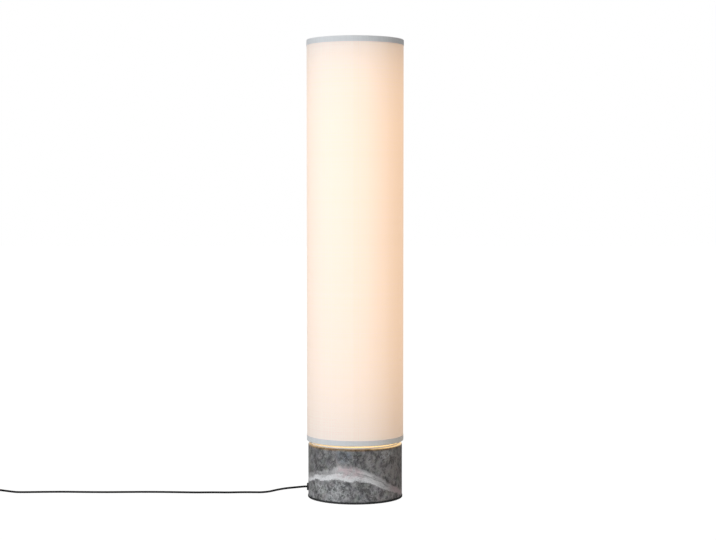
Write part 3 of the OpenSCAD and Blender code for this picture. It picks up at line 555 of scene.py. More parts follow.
def marble():
    """Grey stone, mixed from its tone, with crackle, a vein and its branch, worn edges, painted light on its
    right side, and a painted glow and painted warm light at its rim.
    """
    n = Finish("marble", Specular_IOR_Level=0.4, Emission_Strength=1.0)
    mm = n.scaled(n.place, 1000)
    plain_x, plain_y, plain_z = n.split(mm)
    broad, fine = (n.vector("SUBTRACT", n.noise(mm, *sizes, give=1), (0.5, 0.5, 0.5))
                   for sizes in ((0.045, 3.0, 0.5), (0.28, 4.0, 0.6)))

    def reach(noise, far):
        return n.vector("MULTIPLY", noise, (far, far, far))

    warped = n.vector("ADD", mm, n.vector("ADD", reach(broad, 14), reach(fine, 6)))
    x, y, z = n.split(warped)

    # height over the vein's middle, and the same in halves of its thickness
    over = z - (VEIN_Z + (x * VEIN_X_SLOPE + y * VEIN_Y_SLOPE) + x * x * VEIN_BEND)
    depth = over / (VEIN_HALF - abs(x - VEIN_THICK_X) * VEIN_THINNING)
    band = n.fade(depth, -1.15, -0.90) * n.fade(depth, 1.45, 0.55)
    below = n.fade(over, 4.0, -14.0)

    tone, clouds, grains = stone_tone(n, mm, warped)
    tone = tone - near(n, warped, *DARK_PATCHES) * 0.22
    light = n.mix(near(n, warped, BLUE_PATCH), n.mix(below, *STONE_LIGHT), STONE_BLUE)
    stone = n.mix(n.fade(tone, 0.10, 0.92), n.mix(below, *STONE_DARK), light)
    stone = n.mix(0.16, stone, n.noise(mm, 0.09, 3.0, give=1), "SOFT_LIGHT")
    # painted light: the stone is lighter towards the right side
    stone = n.tint(stone, STONE_RIGHT_PAINTED_LIGHT, n.fade(plain_x, 5.0, 70.0))

    # pale crackle between grains, thickest low down, and finer hairs
    crackled = near(n, warped, *CRACKLED_PATCHES)
    cracks = n.cells(n.vector("ADD", mm, reach(fine, 9)), 0.125, "DISTANCE_TO_EDGE")
    crackle = n.fade(cracks, 0.13, 0.02) * n.fade(n.noise(mm, 0.10) + crackled * 0.13, 0.46, 0.60)
    hair = n.cells(n.vector("ADD", mm, reach(fine, 4)), 0.38, "DISTANCE_TO_EDGE")
    hair = n.fade(hair, 0.14, 0.0) * n.fade(n.noise(mm, 0.09, 3.0), 0.46, 0.58)
    shown = n.larger(n.fade(below, 0.0, 1.0, 0.35, 0.62), crackled * 0.9)
    stone = n.mix(n.larger(crackle * 0.78, hair * 0.45) * shown, stone, CRACKLE_PALE)

    # the vein: pale, brightest along its lower edge, thinly streaked, mauve near the front
    streaks = n.noise(n.joined(x * 0.035, y * 0.035, over * 0.26), 1.0, 3.0, 0.5)
    vein = n.mix(n.fade(streaks, 0.34, 0.66), *VEIN_STREAKS)
    vein = n.mix(n.fade(depth, 0.1, -0.5) * 0.75, vein, VEIN_EDGE)
    flush = n.fade(abs(plain_x - MAUVE_X), MAUVE_HALF, 0.5 * MAUVE_HALF) * n.fade(depth, -0.9, -0.1)
    flush = flush * n.fade(n.noise(mm, 0.11), 0.32, 0.58) * n.fade(plain_y, 0.0, -40.0)
    vein = n.mix(n.larger(flush * 0.8, n.fade(plain_x, 50.0, 70.0, 0.0, 0.9)), vein, VEIN_MAUVE)
    thin = n.fade(x, 62.0, 5.0, 0.72, 1.0) * n.fade(streaks, 0.30, 0.50, 0.62, 1.0)
    left_top = n.fade(x, -20.0, -50.0) * n.fade(depth, -0.1, 0.5)
    thin = thin * n.fade(grains + tone, 0.3, 1.2, 0.70, 1.0) * n.fade(left_top, 0.0, 1.0, 1.0, 0.45)
    stone = n.mix(band * thin, stone, vein)

    # a thin branch beside the vein's right half, and a dark seam within it
    beside = n.fade(plain_x, BRANCH_X - 6, BRANCH_X + 8) * n.fade(plain_x, 72.0, 45.0)
    seam = n.fade(abs(over - SEAM_RISE), SEAM_HALF, 0.3 * SEAM_HALF) * beside
    stone = n.mix(seam * 0.6, stone, SEAM_DARK)
    branch = abs(over - (BRANCH_RISE + (x - BRANCH_X) * BRANCH_FALL))
    branch = n.fade(branch, BRANCH_HALF, 0.4 * BRANCH_HALF)
    stone = n.mix(branch * beside * 0.45, stone, BRANCH_PALE)

    worn = n.group(WEAR, Vector=n.place, Width=0.0012)[0]
    # painted warm light: the band just under the rim is tinted warm
    stone = n.tint(n.mix(worn * 0.35, stone, STONE_WORN), RIM_PAINTED_WARM_LIGHT, n.fade(plain_z, *RIM_PAINTED_WARM_LIGHT_Z))
    rough = (0.36 + n.noise(mm, 0.3) * 0.2) * n.fade(plain_z, POLISHED_Z - 1.5, POLISHED_Z, 1.0, TOP_POLISH)
    pits = n.fade(n.cells(mm, 0.8), 0.16, 0.05) * n.fade(clouds, 0.5, 0.7)
    # painted glow: the rim gives off light of its own, strongest at the right
    painted_glow_share = n.larger(n.fade(plain_x, 12.0, 60.0, 0.06, 0.95), n.fade(plain_x, -35.0, -70.0, 0.0, 0.35))
    glow = n.tint(RIM_PAINTED_GLOW, n.grey(painted_glow_share * n.fade(plain_z, *RIM_PAINTED_GLOW_Z)))
    n.show(Base_Color=stone, Roughness=rough, Emission_Color=glow,
           Normal=n.bump(grains * 0.12 - pits, 0.00005, 0.5))


# The cloth's overlapped seam, at the back (+Y)
CLOTH_R = span("shade_fabric", X)[1]
LAP_RISE = 0.4 * MM
LAP_FREE_EDGE = 6.0 * MM    # from the seam's middle to the cut edge on top, along X
LAP_FREE_RUN = 0.25 * MM
LAP_UNDER_EDGE = -6.0 * MM  # the same to the edge that lies below
LAP_UNDER_RUN = 2.4 * MM

# The light that comes through the shade
GLOW_COLOR = (0.56, 0.325, 0.155)
GLOW_TOP_LOSS = 0.45      # share lost at the top edge, and the distance in which that shrinks to 1 / e
GLOW_TOP_REACH = 0.043
GLOW_LOW_LOSS = 0.43
GLOW_LOW_REACH = 0.110
TAPE_SHOWN = 0.010
GLOW_RIGHT_GAIN = 0.15    # share gained at the right side (+X) and lost at the left
LAP_GLOW = 0.72           # what shows through the seam's two layers, against one
SHADE_LOW = span("bottom_tape", Z)[0]
SHADE_HIGH = span("top_tape", Z)[1]
THREAD_PITCH = 0.00042
TAPE_PITCH = 0.00034
STRAP_PITCH = 0.0006
CLOTH_WHITE = (0.795, 0.795, 0.80)
TAPE_WHITE = (0.80, 0.805, 0.81)
TAPE_GLOW = (0.070, 0.050, 0.022)   # through the lower tape's right end
LINER_WHITE = ((0.78, 0.77, 0.74), (0.84, 0.83, 0.81))
LINER_GLOW = (0.42, 0.26, 0.12)
# The opal tube's light: what it throws on its surroundings, and what the eye sees of it
TUBE_LIGHT = (1.5, 1.0, 0.44)
TUBE_SEEN = (0.56, 0.43, 0.27)
TUBE_RIGHT_GAIN = 0.25
TUBE_END = 0.02           # its light falls off over that length at each end
LED_PITCH = 0.0167
DUST_GREY = (0.45, 0.44, 0.42)


def glow_level(n, z):
    """1 - loss * exp(-distance / reach), for the distances from both tapes."""
    low = n.math("EXPONENT", (SHADE_LOW + TAPE_SHOWN - z) / GLOW_LOW_REACH)
    high = n.math("EXPONENT", (z - (SHADE_HIGH - TAPE_SHOWN)) / GLOW_TOP_REACH)
    return 1.0 - (low * GLOW_LOW_LOSS + high * GLOW_TOP_LOSS)


def brighter_right(n, x, radius, gain):
    """1 - gain at the left side, 1 + gain at the right."""
    return n.fade(x, -radius, radius, 1 - gain, 1 + gain)


def shade_weave():
    """Woven cloth, lit from inside: brightest between its threads and darker where its seam is double."""
    n = Finish("shade_weave", Roughness=0.9, Specular_IOR_Level=0.15, Sheen_Weight=0.15,
               Sheen_Roughness=0.5, Emission_Strength=1.0)
    height, tone = n.group(WEAVE, UV=n.uv(), Pitch=THREAD_PITCH, Sway=0.8)
    body = n.tint(CLOTH_WHITE, n.grey(n.fade(tone, 0.25, 0.75, 0.94, 1.04)))
    gap = n.fade(height, 0.55, 0.15, 1.0, 1.10)
    cloud = n.fade(n.noise(n.place, 9.0, 2.0), 0.3, 0.7, 0.985, 1.015)
    x, y, z = n.split(n.place)
    level = glow_level(n, z) * (gap * cloud) * brighter_right(n, x, CLOTH_R, GLOW_RIGHT_GAIN)
    doubled = n.fade(x, LAP_FREE_EDGE + 0.0004, LAP_FREE_EDGE) * n.fade(y, 0.0, CLOTH_R / 2)
    doubled = doubled * n.fade(x, LAP_UNDER_EDGE - 0.0006, LAP_UNDER_EDGE + 0.0004)
    level = level * n.fade(doubled, 0.0, 1.0, 1.0, LAP_GLOW) * n.fade(tone, 0.25, 0.75, 0.95, 1.05)
    n.show(Base_Color=body, Emission_Color=n.tint(GLOW_COLOR, n.grey(level)),
           Normal=n.bump(height, 0.00006, 0.7))


def edge_tape():
    """A finer weave, a little soiled, with light through its lower right end."""
    n = Finish("edge_tape", Roughness=0.85, Specular_IOR_Level=0.2, Sheen_Weight=0.2,
               Sheen_Roughness=0.4, Emission_Strength=1.0)
    height, tone = n.group(WEAVE, UV=n.uv(), Pitch=TAPE_PITCH, Sway=0.4)
    soil = n.fade(n.noise(n.place, 40.0), 0.35, 0.75, 1.0, 0.97)
    body = n.tint(TAPE_WHITE, n.grey(n.fade(tone, 0.25, 0.75, 0.93, 1.05) * soil))
    x, _, z = n.split(n.place)
    level = n.fade(x, -0.6 * CLOTH_R, CLOTH_R) * n.fade(z, SHADE_HIGH, SHADE_LOW)
    n.show(Base_Color=body, Emission_Color=n.tint(TAPE_GLOW, n.grey(level)),
           Normal=n.bump(height, 0.00005, 0.6))


def shade_backing():
    """The white liner, lit as the cloth is."""
    n = Finish("shade_backing", Roughness=0.45, Specular_IOR_Level=0.4, Emission_Strength=1.0)
    height, tone = n.group(GRAIN, Vector=n.place, Scale=1500.0)
    glow = n.tint(LINER_GLOW, n.grey(glow_level(n, n.split(n.place)[2])))
    n.show(Base_Color=n.mix(n.fade(tone, 0.3, 0.7), *LINER_WHITE), Emission_Color=glow,
           Normal=n.bump(height, 0.00002, 0.4))


def opal_acrylic():
    """Four strips of light show faintly, as the cosine of four times the angle round the tube."""
    n = Finish("opal_acrylic", Roughness=0.35, Specular_IOR_Level=0.45, Base_Color=(0.86, 0.85, 0.82),
               Emission_Strength=1.0)
    x, y, z = n.split(n.place)
    low, high = span("opal_tube", Z)
    strips = 0.5 + 0.5 * n.math("COSINE", n.math("ARCTAN2", y, x) * 4.0)
    ends = n.fade(z, low, low + TUBE_END, 0.8, 1.0) * n.fade(z, high, high - TUBE_END, 0.8, 1.0)
    side = brighter_right(n, x, span("opal_tube", X)[1], TUBE_RIGHT_GAIN)
    light = n.tint(n.mix(n.eye(), TUBE_LIGHT, TUBE_SEEN), n.grey((0.94 + strips * 0.06) * ends * side))
    n.show(Emission_Color=light, Normal=n.bump(n.noise(n.place, 1200.0, 3.0), 0.00001, 0.3))


def plastic(name, color, rough, scale=1800.0, depth=0.00003, spread=0.25, dust=0.06, **constants):
    """Moulded plastic or rubber: fine grain, uneven gloss, lighter edges and a little dust."""
    n = Finish(name, **constants)
    height, tone = n.group(GRAIN, Vector=n.place, Scale=scale)
    dark, light = ([c * share for c in color] for share in (1 - spread, 1 + spread))
    worn, normal = n.group(WEAR, Vector=n.place, Width=0.0004)
    body = n.mix(n.fade(tone, 0.3, 0.7), dark, light)
    body = n.mix(worn * 0.25, body, [min(1.0, 1.8 * c + 0.03) for c in color])
    body = n.mix(n.group(DUST, Vector=n.place)[0] * dust, body, DUST_GREY)
    n.show(Base_Color=body, Roughness=n.fade(tone, 0.3, 0.7, rough - 0.05, rough + 0.06),
           Normal=n.bump(height, depth, 0.5, normal))


def metal(name, color, rough, stretch=(900, 900, 30), depth=0.000008, aged=(0.4, 0.4, 0.4), age=0.2):
    """Metal with drawn lines, uneven gloss, an aged tone in patches and bright edges."""
    n = Finish(name, Metallic=1.0)
    height = n.group(LINES, Vector=n.scaled(n.place, *stretch))[0]
    clouds = n.fade(n.noise(n.place, 70.0, 5.0, 0.6), 0.4, 0.75)
    worn, normal = n.group(WEAR, Vector=n.place, Width=0.0003)
    body = n.tint(n.mix(clouds * age, color, aged), n.grey(n.fade(height, 0.25, 0.75, 0.9, 1.05)))
    body = n.mix(worn * 0.3, body, [min(1.0, c * 1.25) for c in color])
    n.show(Base_Color=body, Roughness=n.fade(height, 0.2, 0.8, rough - 0.06, rough + 0.08) + clouds * 0.08,
           Normal=n.bump(height, depth, 0.5, normal))


def cord_black():
    """Black sleeve with fine lines and a trace of dust."""
    n = Finish("cord_black", Specular_IOR_Level=0.22)
    height, tone = n.group(LINES, Vector=n.scaled(n.place, 500))
    body = n.mix(n.fade(tone, 0.3, 0.7), (0.004, 0.004, 0.0045), (0.010, 0.010, 0.011))
    body = n.mix(n.group(DUST, Vector=n.place)[0] * 0.008, body, (0.4, 0.39, 0.37))
    n.show(Base_Color=body, Roughness=n.fade(tone, 0.3, 0.7, 0.50, 0.62), Normal=n.bump(height, 0.00002, 0.4))


def circuit_board():
    """Green board with paler tracks, as a pattern of bricks, and round copper pads."""
    n = Finish("circuit_board", Roughness=0.3, Coat_Weight=0.3, Coat_Roughness=0.15)
    tracks = n.add("TexBrick", {"Vector": n.scaled(n.place, 1000), "Scale": 0.35, "Mortar Size": 0.06,
                                "Color1": (0.015, 0.10, 0.045), "Color2": (0.018, 0.13, 0.055),
                                "Mortar": (0.05, 0.26, 0.11)})
    pads = n.fade(n.cells(n.place, 420.0, randomness=0.6), 0.18, 0.14)
    n.show(Base_Color=n.mix(pads, tracks, (0.72, 0.55, 0.25)), Roughness=n.fade(pads, 0.0, 1.0, 0.32, 0.22),
           Normal=n.bump(pads, 0.00003, 0.5))


def led_strip():
    """A row of yellow chips: the first third of each pitch, in the middle of the strip's width."""
    n = Finish("led_strip", Roughness=0.35, Emission_Strength=1.0)
    x, y, z = n.split(n.place)
    across = n.math("MINIMUM", abs(x), abs(y))
    step = n.math("FRACT", (z - span("led_strip_front", Z)[0]) / LED_PITCH)
    chip = n.fade(step, 0.175, 0.165) * n.fade(across, 0.00145, 0.00135)
    dots = n.fade(n.cells(n.place, 260.0, randomness=0.2), 0.16, 0.13)
    body = n.mix(chip, n.mix(dots, (0.82, 0.82, 0.80), (0.75, 0.50, 0.25)), (0.93, 0.74, 0.22))
    n.show(Base_Color=body, Emission_Color=n.tint((3.0, 2.2, 1.2), n.grey(chip)),
           Normal=n.bump(dots + chip, 0.00003, 0.4))


def strap_fabric():
    """Coarse black weave with fluff."""
    n = Finish("strap_fabric", Roughness=0.95, Specular_IOR_Level=0.2, Sheen_Weight=0.4, Sheen_Roughness=0.5)
    height, tone = n.group(WEAVE, UV=n.uv(), Pitch=STRAP_PITCH, Sway=0.3)
    body = n.mix(n.fade(tone, 0.3, 0.7), (0.018, 0.018, 0.02), (0.045, 0.045, 0.048))
    fluff = n.noise(n.place, 2500.0, 4.0, 0.7)
    n.show(Base_Color=body, Normal=n.bump(height + fluff * 0.8, 0.0001, 0.7))


for make in (marble, shade_weave, edge_tape, shade_backing, opal_acrylic, cord_black, circuit_board,
             led_strip, strap_fabric):
    make()
plastic("foot_rubber", (0.022, 0.022, 0.023), 0.72, 900.0, 0.00008, dust=0.12)
plastic("black_plastic", (0.013, 0.013, 0.014), 0.50, Specular_IOR_Level=0.35)
plastic("button_plastic", (0.060, 0.060, 0.064), 0.40, 2200.0)
plastic("wire_red", (0.50, 0.028, 0.025), 0.30, 1500.0, 0.00001, dust=0.0)
plastic("white_nylon", (0.76, 0.76, 0.73), 0.52, 1400.0, 0.00002, 0.03, dust=0.03)
plastic("white_paint", (0.80, 0.80, 0.785), 0.42, 1100.0, 0.00004, 0.02, dust=0.03)
metal("zinc_steel", (0.62, 0.63, 0.65), 0.34, aged=(0.50, 0.49, 0.44))
metal("brass", (0.78, 0.56, 0.26), 0.27, (60, 60, 1400), aged=(0.52, 0.34, 0.15), age=0.35)
metal("bare_aluminium", (0.78, 0.79, 0.80), 0.36, (1200, 1200, 12), 0.00001, (0.60, 0.61, 0.62))
metal("spring_steel", (0.58, 0.59, 0.61), 0.24, (300, 300, 300), aged=(0.3, 0.3, 0.32))


def paint(obj, slot):
    """Gives a piece one material, by its slot's name in the record."""
    obj.data.materials.clear()
    obj.data.materials.append(FINISHES[slot])


def dress(obj, slot, body, *stands_for):
    """Paints a new piece, makes it ride on its body and stand for its CAD nodes."""
    paint(obj, slot)
    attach(obj, body)
    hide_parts(*stands_for)
    return obj


for part in frame["record"]["subparts"]:
    paint(frame["nodes"][part["node"]], part["material_slot"])


def soften(node, width):
    """Rounds a CAD node's hard edges: its triangles are welded, its flat faces joined, and the edges
    between faces that meet at more than 40 degrees bevelled."""
    shape = frame["nodes"][node]
    weld = shape.modifiers.new("weld", "WELD")
    weld.merge_threshold = 1e-6
    flat = shape.modifiers.new("flat", "DECIMATE")
    flat.decimate_type = "DISSOLVE"
    flat.angle_limit = math.radians(0.3)
    edge = shape.modifiers.new("edge", "BEVEL")
    edge.width = width
    edge.segments = 3
    edge.limit_method = "ANGLE"
    edge.angle_limit = math.radians(40)
    edge.harden_normals = True


# ---- the shade

SHADE_R = span("top_tape", X)[1]
CLOTH_T = 0.6 * MM
CLOTH_Z = span("shade_fabric", Z)
SHADE_STEPS = 1440
TAPE_T = 0.4 * MM
TAPE_OUTER_H = 10.0 * MM
TAPE_INNER_H = 8.0 * MM
TAPE_INNER_R = 80.0 * MM
TAPE_FOLD_OUT = 1.1 * MM
TAPE_FOLD_IN = 1.6 * MM


def lap():
    """How far the overlapped seam at the back stands out, at each angle: a smooth ramp over the hidden
    edge, level, and a steep drop at the cut edge."""
    s = (PI / 2 - circle(SHADE_STEPS)) * CLOTH_R
    up = smoothstep(LAP_UNDER_EDGE - LAP_UNDER_RUN / 2, LAP_UNDER_EDGE + LAP_UNDER_RUN / 2, s)
    down = smoothstep(LAP_FREE_EDGE + LAP_FREE_RUN, LAP_FREE_EDGE, s)
    return LAP_RISE * up * down


def shade_cloth():
    """The woven cylinder: its outside up, its inside down, and the two cut edges."""
    low, high = CLOTH_Z
    inner = CLOTH_R - CLOTH_T
    profile = [(low, CLOTH_R), (high, CLOTH_R), (high, inner), (low, inner)]
    outside = np.array([1, 1, 0, 0])[:, None]
    return piece("shade_cloth", [turned(profile, steps=SHADE_STEPS, bulge=outside * lap(), loop=True)])


def bound_tape(name, edge, into):
    """A tape folded over the shade's edge. Its middle line runs up the outside, round the outer fold,
    level over the ring, round the inner fold and down the inside; both faces are half its thickness
    from that line. into is +1 where the shade lies above the edge and -1 where it lies below."""
    out_r, in_r = SHADE_R - TAPE_T / 2, TAPE_INNER_R + TAPE_T / 2
    a, b = TAPE_FOLD_OUT, TAPE_FOLD_IN
    top = TAPE_T / 2
    line = np.vstack([[(out_r, TAPE_OUTER_H), (out_r, TAPE_OUTER_H / 2)],
                      arc((out_r - a, top + a), a, 0, -90, 9), arc((in_r + b, top + b), b, -90, -180, 9),
                      [(in_r, TAPE_INNER_H / 2), (in_r, TAPE_INNER_H)]])
    t = np.gradient(line, axis=0)
    normal = unit(np.column_stack([-t[:, 1], t[:, 0]]))
    both = np.vstack([line + normal * TAPE_T / 2, (line - normal * TAPE_T / 2)[::-1]])
    outer_leg = smoothstep(SHADE_R - 2.0 * MM, SHADE_R - 0.7 * MM, both[:, 0])[:, None]
    profile = np.stack([edge + into * both[:, 1], both[:, 0]], axis=1)
    return piece(name, [turned(profile, steps=SHADE_STEPS // 2, bulge=outer_leg * lap()[::2], loop=True)])


cloth = dress(shade_cloth(), "shade_weave", "shade", "shade_fabric")
lower_tape = dress(bound_tape("bottom_tape_bound", SHADE_LOW, 1), "edge_tape", "shade", "bottom_tape")
upper_tape = dress(bound_tape("top_tape_bound", SHADE_HIGH, -1), "edge_tape", "shade", "top_tape")

# ---- the rod that carries the shade

ROD_R = span("top_rod", X)[1]
STUD_R = 3.0 * MM
STUD_L = 13.0 * MM
ROD_PITCH = 1.0 * MM
THREAD_RINGS = 8
ROD_SIDES = 64


def thread(distance, pitch, sides, share=0.6):
    """How deep a thread is cut at each distance along a screw and each angle round it: a share of the
    pitch, times twice the distance of (distance / pitch - angle / circle) from its nearest whole
    number."""
    turn = np.asarray(distance)[:, None] / pitch - np.arange(sides) / sides
    return share * pitch * 2 * np.abs(turn - np.round(turn))


def threaded_rod():
    """A rod with a shoulder and a stud, threaded where the nut sits and above the shoulder."""
    low, tip = span("top_rod", Z)
    shoulder = tip - STUD_L
    thread_from = span("cap_nut", Z)[0]
    body_z = np.arange(thread_from, shoulder - 0.4 * MM, ROD_PITCH / THREAD_RINGS)
    stud_z = np.arange(shoulder + 0.3 * MM, tip - 0.9 * MM, ROD_PITCH / THREAD_RINGS)
    z = np.concatenate([[low, thread_from - ROD_PITCH], body_z, [shoulder - 0.4 * MM, shoulder, shoulder],
                        stud_z, [tip - 0.8 * MM, tip]])
    r = np.concatenate([[ROD_R, ROD_R], np.full(len(body_z), ROD_R), [ROD_R, ROD_R - 0.4 * MM, STUD_R],
                        np.full(len(stud_z), STUD_R), [STUD_R - 0.1 * MM, STUD_R - 0.8 * MM]])
    cut = np.concatenate([[0, 0], np.ones(len(body_z)), [0, 0, 0], np.ones(len(stud_z)), [0, 0]])
    grooves = cut[:, None] * thread(z, ROD_PITCH, ROD_SIDES)
    rod = turned(np.column_stack([z, r]), steps=ROD_SIDES, bulge=-grooves)
    return piece("threaded_top_rod", [rod], sharp=60.0)


dress(threaded_rod(), "zinc_steel", "base", "top_rod")

# ---- screws and the mast

UP, DOWN = (0, 0, 1), (0, 0, -1)
SCREW_SIDES = 30
SCREW_RINGS = 6           # rings a turn of the thread
MAST_PITCH = 1.0 * MM
MAST_BORE_R = 3.5 * MM


def screw(place, axis, head, length, shank_r, pitch, key):
    """A screw from its head's face along its axis: a recess for a hexagonal key, of that width across
    its flats, the head's profile, and a threaded shank with a pointed end. A hexagon's radius at an
    angle a is half its width over cos(a - 30 degrees), with a taken within one side."""
    depth = 0.5 * key
    socket = [(depth, key / 2), (0.1 * key, key / 2), (0.0, key / 2 + 0.1 * key)]
    start = head[-1][0]
    distance = np.arange(start + pitch, length - 1.2 * pitch, pitch / SCREW_RINGS)
    shank = [(start, shank_r), (start + 0.6 * pitch, shank_r)]
    end = [(length - pitch, shank_r), (length, shank_r - 0.6 * pitch)]
    profile = np.vstack([socket, head, shank, followed(distance, shank_r), end])
    hexagon = key / 2 / np.cos(circle(SCREW_SIDES) % (PI / 3) - PI / 6) - key / 2
    bulge = np.zeros((len(profile), SCREW_SIDES))
    bulge[:len(socket)] = hexagon
    first = len(socket) + len(head) + len(shank)
    bulge[first:first + len(distance)] = -thread(distance, pitch, SCREW_SIDES)
    return turned(profile, place, axis, SCREW_SIDES, bulge)


def screws(name, node, places, axis, head, **sizes):
    """Equal screws at places in plan, each as long as their CAD node is high, with their heads at its
    foot where the axis is UP and at its top where it is DOWN. The head's profile and the sizes are in mm."""
    low, high = span(node, Z)
    sizes = {key: value * MM for key, value in sizes.items()}
    made = piece(name, [screw((x, y, low if axis is UP else high), axis, np.array(head) * MM,
                              length=high - low, **sizes) for x, y in places], sharp=40.0)
    dress(made, "zinc_steel", "base", node)


def threaded_mast():
    """The hollow mast, threaded over its whole length outside."""
    low, high = span("mast_tube", Z)
    radius = span("mast_tube", X)[1]
    z = np.arange(low + 0.5 * MM, high - 0.5 * MM, MAST_PITCH / SCREW_RINGS)
    profile = np.vstack([[(low, radius - 0.6 * MM)], followed(z, radius),
                         [(high, radius - 0.6 * MM), (high, MAST_BORE_R), (low, MAST_BORE_R)]])
    bulge = np.zeros((len(profile), ROD_SIDES))
    bulge[1:len(z) + 1] = -thread(z, MAST_PITCH, ROD_SIDES)
    return piece("threaded_mast", [turned(profile, steps=ROD_SIDES, bulge=bulge, loop=True)], sharp=60.0)


dress(threaded_mast(), "zinc_steel", "base", "mast_tube")

# The screws' places in plan, and the shell screws' heads, in mm
COVER_SCREW_R = 49.5
CLAMP_SCREW_X = -30.0
CLAMP_SCREW_Y = 22.0 / 3
TERMINAL_SCREW_X = 14.0
TERMINAL_SCREW_Y = 4.5
SHELL_HEAD_R = 2.3
COVER_SCREWS = [(COVER_SCREW_R * MM * math.cos(a), COVER_SCREW_R * MM * math.sin(a))
                for a in PI / 4 + PI / 2 * np.arange(4)]
CLAMP_SCREWS = [(CLAMP_SCREW_X * MM, side * CLAMP_SCREW_Y * MM) for side in (-1, 1)]
TERMINAL_SCREWS = [(TERMINAL_SCREW_X * MM, side * TERMINAL_SCREW_Y * MM) for side in (-1, 1)]
shell_from, shell_to = span("dimmer_screws", X)
SHELL_SCREWS = [(x, sum(span("dimmer_screws", Y)) / 2)
                for x in (shell_from + SHELL_HEAD_R * MM, shell_to - SHELL_HEAD_R * MM)]
screws("countersunk_screws", "cover_screws", COVER_SCREWS, UP, [(0.0, 3.9), (0.1, 4.0), (2.0, 2.1)],
       shank_r=2.0, pitch=0.7, key=2.5)
screws("pan_head_screws", "clamp_screws", CLAMP_SCREWS, DOWN,
       [(0.0, 2.2), (0.2, 2.55), (0.6, 2.8), (2.0, 2.8)], shank_r=1.5, pitch=0.5, key=2.0)
screws("wire_screws", "terminal_screws", TERMINAL_SCREWS, DOWN, [(0.0, 1.6), (0.2, 1.8)],
       shank_r=1.8, pitch=0.5, key=1.5)
screws("shell_screws", "dimmer_screws", SHELL_SCREWS, UP,
       [(0.0, 1.9), (0.15, 2.2), (0.4, SHELL_HEAD_R), (1.8, SHELL_HEAD_R)],
       shank_r=1.05, pitch=0.45, key=1.5)

# ---- the dimmer

DIMMER_ENDS, DIMMER_SIDES = span("dimmer_upper", X), span("dimmer_upper", Y)
DIMMER_X, DIMMER_Y = sum(DIMMER_ENDS) / 2, sum(DIMMER_SIDES) / 2
DIMMER_L, DIMMER_W = DIMMER_ENDS[1] - DIMMER_ENDS[0], DIMMER_SIDES[1] - DIMMER_SIDES[0]
DIMMER_CORNER = 9.0 * MM
DIMMER_WALL = 2.0 * MM
DIMMER_FILLET = 4.2 * MM
BUTTON_HOLE_R = 8.3 * MM
OUTLINE_POINTS = 160


def rays():
    """(cos a, sin a) at equal steps round the circle."""
    a = circle(OUTLINE_POINTS)
    return np.column_stack([np.cos(a), np.sin(a)])


def outline(length, width, corner):
    """A rounded rectangle's edge, met by rays from its middle: the side's distance over the ray's own
    share of that direction, or, beyond the straight sides, the corner circle's far crossing."""
    ray = rays()
    c, s = np.maximum(np.abs(ray), 1e-9).T
    flat = np.minimum(length / 2 / c, width / 2 / s)
    mid_x, mid_y = length / 2 - corner, width / 2 - corner
    dot = c * mid_x + s * mid_y
    bend = dot + np.sqrt(np.maximum(dot**2 - mid_x**2 - mid_y**2 + corner**2, 0))
    at_corner = (flat * c > mid_x) & (flat * s > mid_y)
    return ray * np.where(at_corner, bend, flat)[:, None]


def dimmer_cover():
    """The upper shell: from its rim up the outside, over a round shoulder to the button's hole, and back
    inside. Rings go from the rounded rectangle, set in by a step, to the hole's circle."""
    low, high = span("dimmer_upper", Z)
    f = DIMMER_FILLET
    a = np.radians(np.linspace(0, 90, 9))
    steps = [(0.35 * MM, low), (0.0, low + 0.35 * MM), (0.0, high - f)]
    steps += list(zip(f * (1 - np.cos(a[1:])), high - f * (1 - np.sin(a[1:]))))
    inside = [(DIMMER_WALL + 2.2 * MM, high - DIMMER_WALL), (DIMMER_WALL, high - DIMMER_WALL - 2.2 * MM),
              (DIMMER_WALL, low)]
    hole = [(BUTTON_HOLE_R + 0.9 * MM, high), (BUTTON_HOLE_R + 0.5 * MM, high - 0.15 * MM),
            (BUTTON_HOLE_R + 0.1 * MM, high - 0.5 * MM), (BUTTON_HOLE_R, high - DIMMER_WALL)]

    def wall(inset):
        corner = max(DIMMER_CORNER - inset, 1.0 * MM)
        return outline(DIMMER_L - 2 * inset, DIMMER_W - 2 * inset, corner)

    edges = [(wall(inset), z) for inset, z in steps] + [(rays() * r, z) for r, z in hole]
    edges += [(wall(inset), z) for inset, z in inside]
    rings = np.array([followed(edge, z) for edge, z in edges])
    rings += [DIMMER_X, DIMMER_Y, 0]
    along = lengths(np.vstack([rings[:, 0], rings[:1, 0]]))
    around = (DIMMER_L + DIMMER_W) * 2 * np.arange(OUTLINE_POINTS + 1) / OUTLINE_POINTS
    return piece("dimmer_cover", [skin(rings, along, around, loop=True)])


def push_button():
    """The button: its flange, its side, a round rim and a dished top, z = rim - dish * (1 - (r / R)2)."""
    low, high = span("dimmer_button", Z)
    left, right = span("dimmer_button", X)
    flange_r = (right - left) / 2
    side_r, flange_h, rim, dish = 8.0 * MM, 1.6 * MM, 1.1 * MM, 0.7 * MM
    r = np.linspace(side_r - rim, 0.3 * MM, 12)
    dished = np.column_stack([high - dish * (1 - (r / (side_r - rim))**2), r])
    profile = np.vstack([
        [(low, flange_r - 0.2 * MM), (low + 0.2 * MM, flange_r), (low + flange_h - 0.2 * MM, flange_r),
         (low + flange_h, flange_r - 0.2 * MM), (low + flange_h, side_r)],
        arc((0, 0), 1, 0, 90, 7)[:, ::-1] * rim + (high - rim, side_r - rim), dished[1:]])
    return piece("push_button", [turned(profile, (DIMMER_X, DIMMER_Y, 0))])


